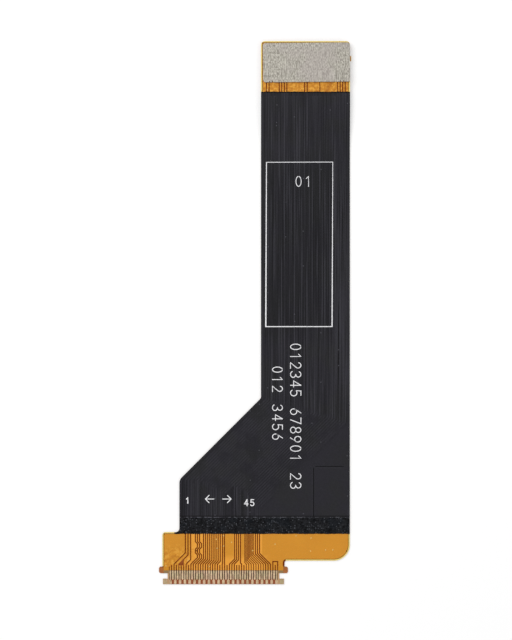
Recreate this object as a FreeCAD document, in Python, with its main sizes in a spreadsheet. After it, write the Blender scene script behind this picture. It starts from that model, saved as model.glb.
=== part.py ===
import FreeCAD, Part
import math
import os

import Sketcher

# Flat flex cable: a flexible printed circuit that joins a display to a main board.
# Millimetres. The origin is the middle of the contact tail's tip, on the surface that the
# cable lies on. Y runs up the cable to its board plug, X across it and Z out of the face
# that carries the contacts.

Vector = FreeCAD.Vector

SIZES = {
    # contact tail: 45 staggered contacts, then ears, notch and lobes that locate it in its socket
    "contact_pitch": 0.3,
    "contact_count": 45,
    "contact_strip": 0.22,
    "contact_neck": 0.17,
    "tip_pad_width": 0.33,
    "tip_pad_length": 0.5,
    "tip_pad_shoulder": 0.06,
    "rear_pad_width": 0.27,
    "rear_pad_start": 0.56,
    "rear_pad_point": 0.07,
    "tip_setback": 0.03,
    "ear_width": 15.06,
    "ear_length": 0.68,
    "notch_width": 13.9,
    "notch_length": 0.69,
    "lobe_width": 16.05,
    "lobe_length": 0.81,
    "lobe_corner": 0.25,
    "neck_width": 15.2,
    "neck_length": 0.75,
    "ear_land_margin": 0.06,
    # outline of the film above the tail
    "cable_length": 67.5,
    "right_edge": 15.72,
    "head_width": 21.2,
    "band_width": 11.05,
    "shoulder_level": 6.48,
    "slope_level": 13.01,
    "fill_corner": 2.0,
    "neck_corner": 0.28,
    "shoulder_corner": 0.4,
    "shoulder_fillet": 0.5,
    "slope_low_corner": 1.0,
    "slope_high_fillet": 0.5,
    "end_corner": 0.45,
    "nub_setback": 1.85,
    "nub_length": 0.65,
    "nub_depth": 0.16,
    # plies, from the face that lies down to the face that shows
    "shield_thick": 0.018,
    "coverlay_thick": 0.0275,
    "base_thick": 0.025,
    "copper_thick": 0.018,
    "plating_thick": 0.004,
    "black_thick": 0.015,
    "ink_thick": 0.01,
    "land_thick": 0.018,
    # where the plies begin and end along the cable
    "coverlay_start": 1.72,
    "black_start": 6.29,
    "black_flare": 0.62,
    "shield_start": 8.28,
    "black_end_setback": 6.3,
    "rear_ply_gap": 0.15,
    "rear_end_gap": 0.35,
    # the step that takes the film up from the surface to the top of its plug
    "step_length": 7.5,
    "step_setback": 0.88,
    # tail stiffener
    "stiffener_length": 4.7,
    "stiffener_thick": 0.1,
    "stiffener_glue": 0.025,
    # steel stiffener
    "steel_length": 10.8,
    "steel_width": 4.9,
    "steel_thick": 0.2,
    "steel_glue": 0.03,
    "steel_glue_margin": 0.06,
    "steel_setback": 0.25,
    "steel_corner": 0.2,
    "steel_turn": 0.5,
    # printed placement frame
    "frame_width": 8.45,
    "frame_length": 20.67,
    "frame_line": 0.16,
    "frame_inset": 0.52,
    "frame_setback": 0.2,
    # etched copper
    "copper_margin": 0.2,
    "gap_width": 0.1,
    "bus_gap_width": 0.07,
    "stub_length": 0.65,
    "fan_level": 2.5,
    "left_column": -4.74,
    "left_pitch": 0.33,
    "tuned_column": -3.49,
    "tuned_pitch": 0.26,
    "signal_column": -2.48,
    "signal_pitch": 0.26,
    "middle_column": -0.125,
    "middle_pitch": 0.25,
    "clock_column": 1.4,
    "clock_pitch": 0.24,
    "bus_column": 2.66,
    "bus_pitch": 0.15,
    "right_column": 3.97,
    "right_pitch": 0.26,
    "upper_column_inset": 0.69,
    "upper_pitch": 0.315,
    "slope_margin": 0.74,
    "slope_pitch": 0.41,
    "swing_width": 0.25,
    "swing_level": 3.65,
    "swing_step": 0.7,
    "cross_gap_setback": 0.55,
    "plane_gap_inset": 4.57,
    "plane_gap_level": 14.7,
    "arch_height": 0.45,
    # board plug under the steel
    "plug_length": 9.9,
    "plug_width": 2.3,
    "plug_height": 0.65,
    "plug_wall": 0.6,
    "plug_end_wall": 0.55,
    "plug_well_depth": 0.45,
    "plug_corner": 0.15,
    "plug_pitch": 0.35,
    "plug_contact_count": 25,
    "plug_contact_width": 0.15,
    "plug_contact_thick": 0.08,
    "plug_contact_proud": 0.02,
    "plug_tip_recess": 0.02,
    "plug_leg_depth": 0.35,
    "foot_length": 0.3,
    "land_margin": 0.05,
    "clip_width": 1.5,
    "clip_thick": 0.1,
    # how far a cutting tool or an untrimmed blank stands clear of what it trims
    "overshoot": 1.0,
}

# Gaps of each bundle of traces, counted from the left: gap n lies left of contact n + 1.
BUNDLES = (
    ("left", (2, 4, 7)),
    ("tuned", (9, 10, 11)),
    ("signal", (12, 13, 14, 15, 16, 17, 18, 19, 20)),
    ("middle", (22, 23)),
    ("clock", (25, 26, 27, 30)),
    ("bus", (32, 33, 34, 35, 36, 37, 38, 39)),
    ("right", (40, 41, 42)),
)
SWING_COUNT = 3
# How each route ends, from the left: w runs on through the window, c stops at a cross gap.
ROUTE_ENDS = "wwcccwwwwccccccwwccccwccccccwwww"
BARE_PATCH_GAPS = (4, 6)
ARCH_GAPS = (43, 45)

doc = FreeCAD.newDocument("flat_flex_cable")
sheet = doc.addObject("Spreadsheet::Sheet", "Sizes")
for row, (alias, number) in enumerate(SIZES.items(), start=1):
    sheet.set(f"A{row}", alias)
    sheet.set(f"B{row}", str(number))
    sheet.setAlias(f"B{row}", alias)
doc.recompute()

# Levels along the cable and heights, as expressions on the sheet's cells.
NOTCH_LEVEL = "Sizes.ear_length"
LOBE_LEVEL = "(Sizes.ear_length + Sizes.notch_length)"
NECK_LEVEL = f"({LOBE_LEVEL} + Sizes.lobe_length)"
FILL_LEVEL = f"({NECK_LEVEL} + Sizes.neck_length)"
HEAD_LEFT = "(Sizes.right_edge - Sizes.head_width)"
BAND_LEFT = "(Sizes.right_edge - Sizes.band_width)"
SLOPE_END = "(Sizes.slope_level + Sizes.head_width - Sizes.band_width)"
BLACK_END = "(Sizes.cable_length - Sizes.black_end_setback)"
STEP_END = f"({BLACK_END} - Sizes.step_setback)"
STEP_START = f"({STEP_END} - Sizes.step_length)"
FRAME_END = f"({STEP_START} - Sizes.frame_setback)"
FRAME_START = f"({FRAME_END} - Sizes.frame_length)"

TAIL_FLOOR = "(Sizes.stiffener_thick + Sizes.stiffener_glue)"
PLUG_FLOOR = "(Sizes.plug_height + Sizes.land_thick)"
STEP_RISE = f"({PLUG_FLOOR} - {TAIL_FLOOR})"
STEP_RADIUS = f"((Sizes.step_length ^ 2 + {STEP_RISE} ^ 2) / (4 * {STEP_RISE}))"
COPPER_LIFT = "Sizes.base_thick"
COVERLAY_LIFT = "(Sizes.base_thick + Sizes.copper_thick)"
BLACK_LIFT = f"({COVERLAY_LIFT} + Sizes.coverlay_thick)"
SHIELD_LIFT = f"({BLACK_LIFT} + Sizes.black_thick)"
INK_LIFT = f"({SHIELD_LIFT} + Sizes.shield_thick)"
REAR_COVERLAY_LIFT = "(-Sizes.coverlay_thick)"
REAR_SHIELD_LIFT = "(-Sizes.coverlay_thick - Sizes.shield_thick)"

STEEL_X = "(Sizes.right_edge - Sizes.steel_length / 2)"
STEEL_Y = "(Sizes.cable_length - Sizes.steel_setback - Sizes.steel_width / 2)"
FOOT_REACH = "(Sizes.plug_width / 2 + Sizes.foot_length)"
REAR_PLY_END = f"({STEEL_Y} - {FOOT_REACH} - Sizes.rear_end_gap)"


def value(expression):
    """Return the number that an expression on the sheet's cells comes to."""
    result = sheet.evalExpression(expression)
    return float(getattr(result, "Value", result))


def origin_plane(body, role):
    """Return one of a body's own origin planes or axes."""
    return next(feature for feature in body.Origin.OriginFeatures if feature.Role == role)


def bind(sketch, kind, *references):
    """Add a constraint whose size, the last reference, is an expression on the sheet."""
    *points, expression = references
    index = sketch.addConstraint(Sketcher.Constraint(kind, *points, value(expression)))
    sketch.setExpression(f"Constraints[{index}]", expression)


def new_sketch(body, name, plane):
    """Return an empty sketch on one of a body's origin planes."""
    sketch = body.newObject("Sketcher::SketchObject", name)
    sketch.AttachmentSupport = (origin_plane(body, plane), [""])
    sketch.MapMode = "FlatFace"
    return sketch


def draw_loop(sketch, corners):
    """Draw a closed outline through corners, each (x, y) or (x, y, radius) in expressions.

    A corner with a radius is a fixed construction point where the two straight edges would
    meet, and an arc that is tangent to both of them.
    """
    points = [Vector(value(corner[0]), value(corner[1]), 0) for corner in corners]
    total = len(corners)
    edges = []
    trims = []
    for i, corner in enumerate(corners):
        into = (points[i] - points[i - 1]).normalize()
        away = (points[(i + 1) % total] - points[i]).normalize()
        turn = math.atan2(into.x * away.y - into.y * away.x, into.dot(away))
        radius = value(corner[2]) if len(corner) == 3 else 0
        cut = radius * math.tan(abs(turn) / 2)
        trims.append((points[i] - into * cut, points[i] + away * cut, into, turn, radius))
    for i in range(total):
        line = Part.LineSegment(trims[i][1], trims[(i + 1) % total][0])
        edges.append(sketch.addGeometry(line, False))
    for i, corner in enumerate(corners):
        before, after = edges[i - 1], edges[i]
        entry, leaving, into, turn, radius = trims[i]
        if not radius:
            sketch.addConstraint(Sketcher.Constraint("Coincident", before, 2, after, 1))
            bind(sketch, "DistanceX", -1, 1, after, 1, corner[0])
            bind(sketch, "DistanceY", -1, 1, after, 1, corner[1])
            continue
        side = math.copysign(1, turn)
        centre = entry + Vector(-into.y, into.x, 0) * (side * radius)
        first, last = (entry, leaving) if side > 0 else (leaving, entry)
        angles = [math.atan2(end.y - centre.y, end.x - centre.x) for end in (first, last)]
        circle = Part.Circle(centre, Vector(0, 0, 1), radius)
        arc = sketch.addGeometry(Part.ArcOfCircle(circle, *angles), False)
        tip = sketch.addGeometry(Part.Point(points[i]), True)
        bind(sketch, "DistanceX", -1, 1, tip, 1, corner[0])
        bind(sketch, "DistanceY", -1, 1, tip, 1, corner[1])
        sketch.addConstraint(Sketcher.Constraint("PointOnObject", tip, 1, before))
        sketch.addConstraint(Sketcher.Constraint("PointOnObject", tip, 1, after))
        starts, ends = (1, 2) if side > 0 else (2, 1)
        sketch.addConstraint(Sketcher.Constraint("Tangent", before, 2, arc, starts))
        sketch.addConstraint(Sketcher.Constraint("Tangent", after, 1, arc, ends))
        bind(sketch, "Radius", arc, corner[2])


def rectangle(left, right, low, high, corner=None):
    """Return the four corners of a rectangle, anticlockwise from the lower left."""
    ends = ((left, low), (right, low), (right, high), (left, high))
    return [end + (corner,) if corner else end for end in ends]


def pad(body, sketch, length, both_sides=False):
    """Pad a sketch by an expression's length, on one side or evenly on both."""
    feature = body.newObject("PartDesign::Pad", f"{sketch.Name}_pad")
    feature.Profile = sketch
    if both_sides:
        feature.SideType = "Symmetric"
    feature.setExpression("Length", length)
    return feature


def plate(name, loops, thick, floor=None, plane="XY_Plane", both_sides=False):
    """Return a body padded from closed loops, with its underside at a floor height."""
    body = doc.addObject("PartDesign::Body", name)
    sketch = new_sketch(body, f"{name}_outline", plane)
    for loop in loops:
        draw_loop(sketch, loop)
    pad(body, sketch, thick, both_sides)
    if floor:
        body.setExpression("Placement.Base.z", floor)
    return body


def repeat(body, feature, axis, pitch, count):
    """Repeat a feature in a row along one of the body's axes."""
    pattern = body.newObject("PartDesign::LinearPattern", f"{feature.Name}_row")
    pattern.Originals = [feature]
    pattern.Direction = (origin_plane(body, axis), [""])
    pattern.setExpression("Length", f"({pitch}) * (({count}) - 1)")
    pattern.setExpression("Occurrences", count)
    body.Tip = pattern
    return pattern


def mirror(body, feature, plane):
    """Add a feature's mirror image in one of the body's origin planes."""
    image = body.newObject("PartDesign::Mirrored", f"{feature.Name}_mirror")
    image.Originals = [feature]
    image.MirrorPlane = (origin_plane(body, plane), [""])
    body.Tip = image
    return image


def tail_side():
    """Return the corners of the tail's right side, from the tip up to the neck."""
    return [
        ("Sizes.ear_width / 2", "0"),
        ("Sizes.ear_width / 2", NOTCH_LEVEL),
        ("Sizes.notch_width / 2", NOTCH_LEVEL),
        ("Sizes.notch_width / 2", LOBE_LEVEL),
        ("Sizes.lobe_width / 2", LOBE_LEVEL, "Sizes.lobe_corner"),
        ("Sizes.lobe_width / 2", NECK_LEVEL, "Sizes.lobe_corner"),
        ("Sizes.neck_width / 2", NECK_LEVEL),
    ]


def mirrored(corners):
    """Return corners turned over to the left side, in the order that closes the outline."""
    return [(f"-({corner[0]})",) + corner[1:] for corner in reversed(corners)]


def head_corners(margin="0"):
    """Return the outline above the tail, from the neck's right side round to its left.

    A margin draws the whole outline in by that much, and its corners with it.
    """
    right = f"Sizes.right_edge - {margin}"
    far = f"Sizes.cable_length - {margin}"
    band_left = f"{BAND_LEFT} + {margin}"
    head_left = f"{HEAD_LEFT} + {margin}"
    slope_drop = f"(sqrt(2) - 1) * {margin}"
    shoulder = f"Sizes.shoulder_level - {margin}"
    return [
        (f"Sizes.neck_width / 2 - {margin}", f"{FILL_LEVEL} + {margin}",
         f"Sizes.neck_corner + {margin}"),
        (right, f"{FILL_LEVEL} + {margin}", f"Sizes.fill_corner - {margin}"),
        (right, far, f"Sizes.end_corner - {margin}"),
        (band_left, far, f"Sizes.end_corner - {margin}"),
        (band_left, f"{SLOPE_END} - {slope_drop}", f"Sizes.slope_high_fillet + {margin}"),
        (head_left, f"Sizes.slope_level - {slope_drop}", f"Sizes.slope_low_corner - {margin}"),
        (head_left, shoulder, f"Sizes.shoulder_fillet + {margin}"),
        (f"-Sizes.neck_width / 2 + {margin}", shoulder, f"Sizes.shoulder_corner - {margin}"),
    ]


def film_corners():
    """Return the base film's whole outline: tail, head, band and the nub on its right edge."""
    head = head_corners()
    nub_top = "Sizes.cable_length - Sizes.nub_setback"
    nub_low = f"{nub_top} - Sizes.nub_length"
    nub_side = "Sizes.right_edge + Sizes.nub_depth"
    nub = [("Sizes.right_edge", nub_low), (nub_side, nub_low), (nub_side, nub_top),
           ("Sizes.right_edge", nub_top)]
    return tail_side() + head[:2] + nub + head[2:] + mirrored(tail_side())


def cover_corners():
    """Return the covers' outline: the film's own, with straight sides down past the neck."""
    right = ("Sizes.neck_width / 2", "-Sizes.overshoot")
    return [right] + head_corners() + mirrored([right])


def black_corners():
    """Return the black films' outline: the head's, down to a flare on the left shoulder."""
    flare = f"{HEAD_LEFT} - Sizes.black_flare"
    right = ("Sizes.right_edge", "-Sizes.overshoot")
    left = [(flare, "Sizes.shoulder_level"), (flare, "-Sizes.overshoot")]
    return [right] + head_corners()[2:-1] + left


def bent_blank(name, lift, thick, start, end):
    """Return a wide ribbon with the step formed in it, to be trimmed to a ply's outline.

    The film's underside is the neutral line: level, then two equal arcs that meet on the
    line between their centres, then level again. A ply at a height above that line has
    arcs about the same two centres.
    """
    body = doc.addObject("PartDesign::Body", name)
    sketch = new_sketch(body, f"{name}_side", "YZ_Plane")
    low_centre = Vector(value(STEP_START), value(f"{TAIL_FLOOR} + {STEP_RADIUS}"), 0)
    high_centre = Vector(value(STEP_END), value(f"{PLUG_FLOOR} - {STEP_RADIUS}"), 0)
    radius = value(STEP_RADIUS)
    angle = math.asin(value("Sizes.step_length") / (2 * radius))
    centres = sketch.addGeometry(Part.LineSegment(low_centre, high_centre), True)
    bind(sketch, "DistanceX", -1, 1, centres, 1, STEP_START)
    bind(sketch, "DistanceY", -1, 1, centres, 1, f"{TAIL_FLOOR} + {STEP_RADIUS}")
    bind(sketch, "DistanceX", -1, 1, centres, 2, STEP_END)
    bind(sketch, "DistanceY", -1, 1, centres, 2, f"{PLUG_FLOOR} - {STEP_RADIUS}")
    ends = []
    for height in (lift, f"{lift} + {thick}"):
        offset = value(height)
        tail_level = value(TAIL_FLOOR) + offset
        plug_level = value(PLUG_FLOOR) + offset
        level = Part.LineSegment(Vector(value(start), tail_level, 0),
                                 Vector(low_centre.x, tail_level, 0))
        low = Part.Circle(low_centre, Vector(0, 0, 1), radius - offset)
        high = Part.Circle(high_centre, Vector(0, 0, 1), radius + offset)
        quarter = math.pi / 2
        rising = Part.ArcOfCircle(low, -quarter, angle - quarter)
        settling = Part.ArcOfCircle(high, quarter, quarter + angle)
        raised = Part.LineSegment(Vector(high_centre.x, plug_level, 0),
                                  Vector(value(end), plug_level, 0))
        a, b, c, d = [sketch.addGeometry(piece, False) for piece in (level, rising, settling, raised)]
        for constraint in (
            ("Coincident", b, 3, centres, 1),
            ("Coincident", c, 3, centres, 2),
            ("Horizontal", a),
            ("Horizontal", d),
            ("Tangent", a, 2, b, 1),
            ("Coincident", b, 2, c, 2),
            ("PointOnObject", b, 2, centres),
            ("Tangent", d, 1, c, 1),
        ):
            sketch.addConstraint(Sketcher.Constraint(*constraint))
        bind(sketch, "DistanceX", -1, 1, a, 1, start)
        bind(sketch, "DistanceY", -1, 1, a, 1, f"{TAIL_FLOOR} + {height}")
        bind(sketch, "DistanceX", -1, 1, d, 2, end)
        ends.append((a, d))
    for side, vertex in ((0, 1), (1, 2)):
        lower, upper = ends[0][side], ends[1][side]
        rise = Part.LineSegment(sketch.getPoint(lower, vertex), sketch.getPoint(upper, vertex))
        closing = sketch.addGeometry(rise, False)
        sketch.addConstraint(Sketcher.Constraint("Coincident", closing, 1, lower, vertex))
        sketch.addConstraint(Sketcher.Constraint("Coincident", closing, 2, upper, vertex))
    pad(body, sketch, "2 * (Sizes.right_edge + Sizes.nub_depth + Sizes.overshoot)", both_sides=True)
    return body


def ply(name, lift, thick, corners, start, end):
    """Return one ply: a formed ribbon trimmed to an outline."""
    blank = bent_blank(f"{name}_blank", lift, thick, start, end)
    trim = plate(f"{name}_trim", [corners], f"4 * ({PLUG_FLOOR} + {INK_LIFT})", both_sides=True)
    result = doc.addObject("Part::Common", name)
    result.Base = blank
    result.Tool = trim
    return result


def gap_x(number):
    """Return where a numbered gap between contacts lies."""
    return value(f"Sizes.contact_pitch * ({number} - Sizes.contact_count / 2)")


def strip_face(points, wide):
    """Return the flat face of a strip of a width along a line of points, with mitred bends."""
    sides = ([], [])
    for i, point in enumerate(points):
        into = (point - points[i - 1]).normalize() if i else None
        away = (points[i + 1] - point).normalize() if i + 1 < len(points) else None
        along = ((into or away) + (away or into)).normalize()
        across = Vector(-along.y, along.x, 0)
        reach = wide / 2 / along.dot(into or away)
        sides[0].append(point + across * reach)
        sides[1].append(point - across * reach)
    loop = sides[0] + sides[1][::-1]
    return Part.Face(Part.makePolygon(loop + loop[:1]))


def route_points(bundle, position, number, index):
    """Return the line of one gap, from the contacts up to the far end of the film.

    It fans out at 45 degrees to its column, climbs to the slope, follows the slope to its
    upper column, and climbs again. Lines that don't reach the window stop at the cross gap.
    """
    column = value(f"Sizes.{bundle}_column + {position} * Sizes.{bundle}_pitch")
    upper = value(f"{BAND_LEFT} + Sizes.upper_column_inset + {index} * Sizes.upper_pitch")
    rise = value(f"Sizes.slope_level - {HEAD_LEFT} - Sizes.slope_margin - {index} * Sizes.slope_pitch")
    start = gap_x(number)
    fan = value("Sizes.fan_level")
    swing = value("Sizes.swing_width") if bundle == "tuned" else 0
    foot = column + swing
    points = [
        Vector(start, value("Sizes.coverlay_start - Sizes.overshoot"), 0),
        Vector(start, fan, 0),
        Vector(foot, fan + abs(foot - start), 0),
    ]
    if swing:
        for step in range(SWING_COUNT):
            level = value(f"Sizes.swing_level + {step} * Sizes.swing_step")
            here, there = (foot, column) if step % 2 == 0 else (column, foot)
            points += [Vector(here, level, 0), Vector(there, level + swing, 0)]
    points.append(Vector(column, column + rise, 0))
    points.append(Vector(upper, upper + rise, 0))
    top = "Sizes.cable_length" if ROUTE_ENDS[index] == "w" else cross_level()
    points.append(Vector(upper, value(top), 0))
    return points


def cross_level():
    """Return the level of the gaps that end the traces short of the window."""
    return f"({BLACK_END} - Sizes.cross_gap_setback)"


def gap_faces():
    """Return the flat face of every gap that is etched into the copper foil."""
    wide = value("Sizes.gap_width")
    bus_wide = value("Sizes.bus_gap_width")
    root = value("Sizes.coverlay_start")
    below = root - value("Sizes.overshoot")
    routes = []
    faces = []
    for bundle, numbers in BUNDLES:
        for position, number in enumerate(numbers):
            routes.append(route_points(bundle, position, number, len(routes)))
            faces.append(strip_face(routes[-1], bus_wide if bundle == "bus" else wide))
    lines = []
    routed = [number for bundle, numbers in BUNDLES for number in numbers]
    stub_top = root + value("Sizes.stub_length")
    for number in range(1, int(value("Sizes.contact_count"))):
        if number not in routed:
            lines.append([Vector(gap_x(number), below, 0), Vector(gap_x(number), stub_top, 0)])
    cross = value(cross_level())
    through = [index for index, end in enumerate(ROUTE_ENDS) if end == "w"]
    for first, second in zip(through, through[1:]):
        if second > first + 1:
            lines.append([Vector(routes[first][-1].x, cross, 0), Vector(routes[second][-1].x, cross, 0)])
    plane_x = value("Sizes.right_edge - Sizes.plane_gap_inset")
    plane_y = value("Sizes.plane_gap_level")
    lines.append([
        Vector(plane_x, value("Sizes.shield_start"), 0),
        Vector(plane_x, plane_y, 0),
        Vector(value("Sizes.right_edge"), plane_y, 0),
    ])
    arch_left, arch_right = [gap_x(number) for number in ARCH_GAPS]
    arch_top = stub_top + value("Sizes.arch_height")
    lines.append([
        Vector(arch_left, below, 0),
        Vector(arch_left, arch_top, 0),
        Vector(arch_right, arch_top, 0),
        Vector(arch_right, below, 0),
    ])
    faces += [strip_face(points, wide) for points in lines]
    patch_left, patch_right = [gap_x(number) for number in BARE_PATCH_GAPS]
    fan = value("Sizes.fan_level")
    patch = [
        Vector(patch_left, stub_top, 0),
        Vector(patch_right, stub_top, 0),
        Vector(patch_right, fan + patch_right - patch_left, 0),
        Vector(patch_left, fan, 0),
    ]
    faces.append(Part.Face(Part.makePolygon(patch + patch[:1])))
    return faces


def base_film():
    """The polyimide film that carries everything, with the tail's ears and lobes."""
    return ply("base_film", "0", "Sizes.base_thick", film_corners(), "0", "Sizes.cable_length")


def copper_foil():
    """The traces and planes: one foil, drawn in from the film's edge, with etched gaps."""
    margin = "Sizes.copper_margin"
    strip_side = "(Sizes.contact_pitch * (Sizes.contact_count - 1) + Sizes.contact_strip) / 2"
    foot = [
        (strip_side, "Sizes.coverlay_start"),
        (strip_side, NECK_LEVEL),
        (f"Sizes.neck_width / 2 - {margin}", NECK_LEVEL),
    ]
    corners = foot + head_corners(margin) + mirrored(foot)
    foil = ply("copper_foil_plain", COPPER_LIFT, "Sizes.copper_thick", corners,
               "Sizes.coverlay_start", "Sizes.cable_length")
    faces = gap_faces()
    merged = faces[0].multiFuse(faces[1:])
    height = value(f"{PLUG_FLOOR} + {INK_LIFT}")
    gaps = doc.addObject("Part::Feature", "etched_gaps")
    gaps.Shape = merged.extrude(Vector(0, 0, height))
    result = doc.addObject("Part::Cut", "copper_foil")
    result.Base = foil
    result.Tool = gaps
    return result


def contact_corners(levels):
    """Return a contact's outline from half widths and levels, listed from its root down."""
    right = levels[::-1]
    return right + mirrored(right)


def contact_row(name, levels, count, first):
    """Return one row of plated contacts, two pitches apart, on the base film."""
    body = doc.addObject("PartDesign::Body", name)
    sketch = new_sketch(body, f"{name}_outline", "XY_Plane")
    draw_loop(sketch, contact_corners(levels))
    finger = pad(body, sketch, "Sizes.copper_thick + Sizes.plating_thick")
    repeat(body, finger, "X_Axis", "2 * Sizes.contact_pitch", count)
    body.setExpression("Placement.Base.x", first)
    body.setExpression("Placement.Base.z", f"{TAIL_FLOOR} + {COPPER_LIFT}")
    return body


def tip_row_contacts():
    """Every other contact, from the first: a narrow neck down to a wide pad at the tip."""
    pad_top = "Sizes.tip_pad_length"
    neck_low = f"{pad_top} + Sizes.tip_pad_shoulder"
    levels = [
        ("Sizes.contact_strip / 2", "Sizes.coverlay_start"),
        ("Sizes.contact_strip / 2", LOBE_LEVEL),
        ("Sizes.contact_neck / 2", f"{LOBE_LEVEL} - Sizes.tip_pad_shoulder"),
        ("Sizes.contact_neck / 2", neck_low),
        ("Sizes.tip_pad_width / 2", pad_top),
        ("Sizes.tip_pad_width / 2", "Sizes.tip_setback"),
    ]
    count = "(Sizes.contact_count + 1) / 2"
    first = "-Sizes.contact_pitch * (Sizes.contact_count - 1) / 2"
    return contact_row("tip_row_contacts", levels, count, first)


def rear_row_contacts():
    """The contacts between those: a wide pad that ends in a point short of the tip."""
    levels = [
        ("Sizes.contact_strip / 2", "Sizes.coverlay_start"),
        ("Sizes.contact_strip / 2", LOBE_LEVEL),
        ("Sizes.rear_pad_width / 2", f"{LOBE_LEVEL} - Sizes.tip_pad_shoulder"),
        ("Sizes.rear_pad_width / 2", "Sizes.rear_pad_start + Sizes.rear_pad_point"),
        ("Sizes.contact_neck / 4", "Sizes.rear_pad_start"),
    ]
    count = "(Sizes.contact_count - 1) / 2"
    first = "-Sizes.contact_pitch * (Sizes.contact_count - 3) / 2"
    return contact_row("rear_row_contacts", levels, count, first)


def ear_lands():
    """The plated land on each of the tail's two ears."""
    margin = "Sizes.ear_land_margin"
    corners = rectangle(f"Sizes.notch_width / 2 + {margin}", f"Sizes.ear_width / 2 - {margin}",
                        margin, f"Sizes.ear_length - {margin}")
    body = doc.addObject("PartDesign::Body", "ear_lands")
    sketch = new_sketch(body, "ear_land_outline", "XY_Plane")
    draw_loop(sketch, corners)
    land = pad(body, sketch, "Sizes.copper_thick + Sizes.plating_thick")
    mirror(body, land, "YZ_Plane")
    body.setExpression("Placement.Base.z", f"{TAIL_FLOOR} + {COPPER_LIFT}")
    return body


def front_coverlay():
    """The clear amber film over the traces, from the contacts' roots to the far end."""
    return ply("front_coverlay", COVERLAY_LIFT, "Sizes.coverlay_thick", cover_corners(),
               "Sizes.coverlay_start", "Sizes.cable_length")


def black_cover_film():
    """The dull black film that shows as the band below the shield's edge."""
    return ply("black_cover_film", BLACK_LIFT, "Sizes.black_thick", black_corners(),
               "Sizes.black_start", BLACK_END)


def front_shield_film():
    """The black shielding film over most of the face."""
    return ply("front_shield_film", SHIELD_LIFT, "Sizes.shield_thick", black_corners(),
               "Sizes.shield_start", BLACK_END)


def placement_frame():
    """The white rectangle printed on the shielding film."""
    left = f"{BAND_LEFT} + Sizes.frame_inset"
    right = f"{left} + Sizes.frame_width"
    line = "Sizes.frame_line"
    outer = rectangle(left, right, FRAME_START, FRAME_END)
    inner = rectangle(f"{left} + {line}", f"{right} - {line}",
                      f"{FRAME_START} + {line}", f"{FRAME_END} - {line}")
    return plate("placement_frame", [outer, inner], "Sizes.ink_thick", f"{TAIL_FLOOR} + {INK_LIFT}")


def rear_coverlay():
    """The film over the rear face, from round the tail's stiffener to short of the plug."""
    beside = "Sizes.neck_width / 2 + Sizes.rear_ply_gap"
    behind = "Sizes.stiffener_length + Sizes.rear_ply_gap"
    corners = [(beside, behind), (beside, FILL_LEVEL)] + head_corners()[1:]
    corners.append(("-Sizes.neck_width / 2", behind))
    return ply("rear_coverlay", REAR_COVERLAY_LIFT, "Sizes.coverlay_thick", corners,
               "Sizes.coverlay_start", REAR_PLY_END)


def rear_shield_film():
    """The black shielding film over the rear face, level with the one over the front."""
    return ply("rear_shield_film", REAR_SHIELD_LIFT, "Sizes.shield_thick", black_corners(),
               "Sizes.shield_start", BLACK_END)


def stiffener_corners():
    """Return the tail stiffener's outline: the tail's own, up to its straight far edge."""
    side = tail_side()
    top = ("Sizes.neck_width / 2", "Sizes.stiffener_length")
    return side + [top] + mirrored(side + [top])


def tail_stiffener_adhesive():
    """The glue film between the tail and its stiffener."""
    return plate("tail_stiffener_adhesive", [stiffener_corners()], "Sizes.stiffener_glue",
                 "Sizes.stiffener_thick")


def tail_stiffener():
    """The plate that brings the tail up to its socket's thickness."""
    return plate("tail_stiffener", [stiffener_corners()], "Sizes.stiffener_thick")


def seat_on_plug(body, floor):
    """Place a body over the middle of the plug, at a floor height."""
    body.setExpression("Placement.Base.x", STEEL_X)
    body.setExpression("Placement.Base.y", STEEL_Y)
    body.setExpression("Placement.Base.z", floor)


def steel_plate(name, margin, thick, floor):
    """Return a plate of the steel stiffener's outline, less a margin, turned as it was laid."""
    half_length = f"(Sizes.steel_length / 2 - {margin})"
    half_width = f"(Sizes.steel_width / 2 - {margin})"
    corners = rectangle(f"-{half_length}", half_length, f"-{half_width}", half_width,
                        "Sizes.steel_corner")
    body = plate(name, [corners], thick)
    body.Placement.Rotation = FreeCAD.Rotation(Vector(0, 0, 1), value("Sizes.steel_turn"))
    seat_on_plug(body, floor)
    return body


def steel_stiffener_adhesive():
    """The glue film under the steel."""
    return steel_plate("steel_stiffener_adhesive", "Sizes.steel_glue_margin", "Sizes.steel_glue",
                       f"{PLUG_FLOOR} + {BLACK_LIFT}")


def steel_stiffener():
    """The stainless plate that backs the plug."""
    return steel_plate("steel_stiffener", "0", "Sizes.steel_thick",
                       f"{PLUG_FLOOR} + {BLACK_LIFT} + Sizes.steel_glue")


def staple_corners(reach, wall, thick, side):
    """Return the section of a strip that wraps a wall of the plug and ends in a foot.

    Reach is the wall's outer face from the plug's middle, and side is 1 or -1.
    """
    outer = f"({reach} + Sizes.plug_contact_proud)"
    inner = f"({reach} - {wall} - Sizes.plug_contact_proud)"
    foot = f"({reach} + Sizes.foot_length)"
    low = "Sizes.plug_tip_recess"
    leg = "(Sizes.plug_tip_recess + Sizes.plug_leg_depth)"
    high = "Sizes.plug_height"
    corners = [
        (foot, high),
        (f"{outer} - {thick}", high),
        (f"{outer} - {thick}", f"{low} + {thick}"),
        (f"{inner} + {thick}", f"{low} + {thick}"),
        (f"{inner} + {thick}", leg),
        (inner, leg),
        (inner, low),
        (outer, low),
        (outer, f"{high} - {thick}"),
        (foot, f"{high} - {thick}"),
    ]
    if side > 0:
        return corners
    return [(f"-({across})", level) for across, level in reversed(corners)]


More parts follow.
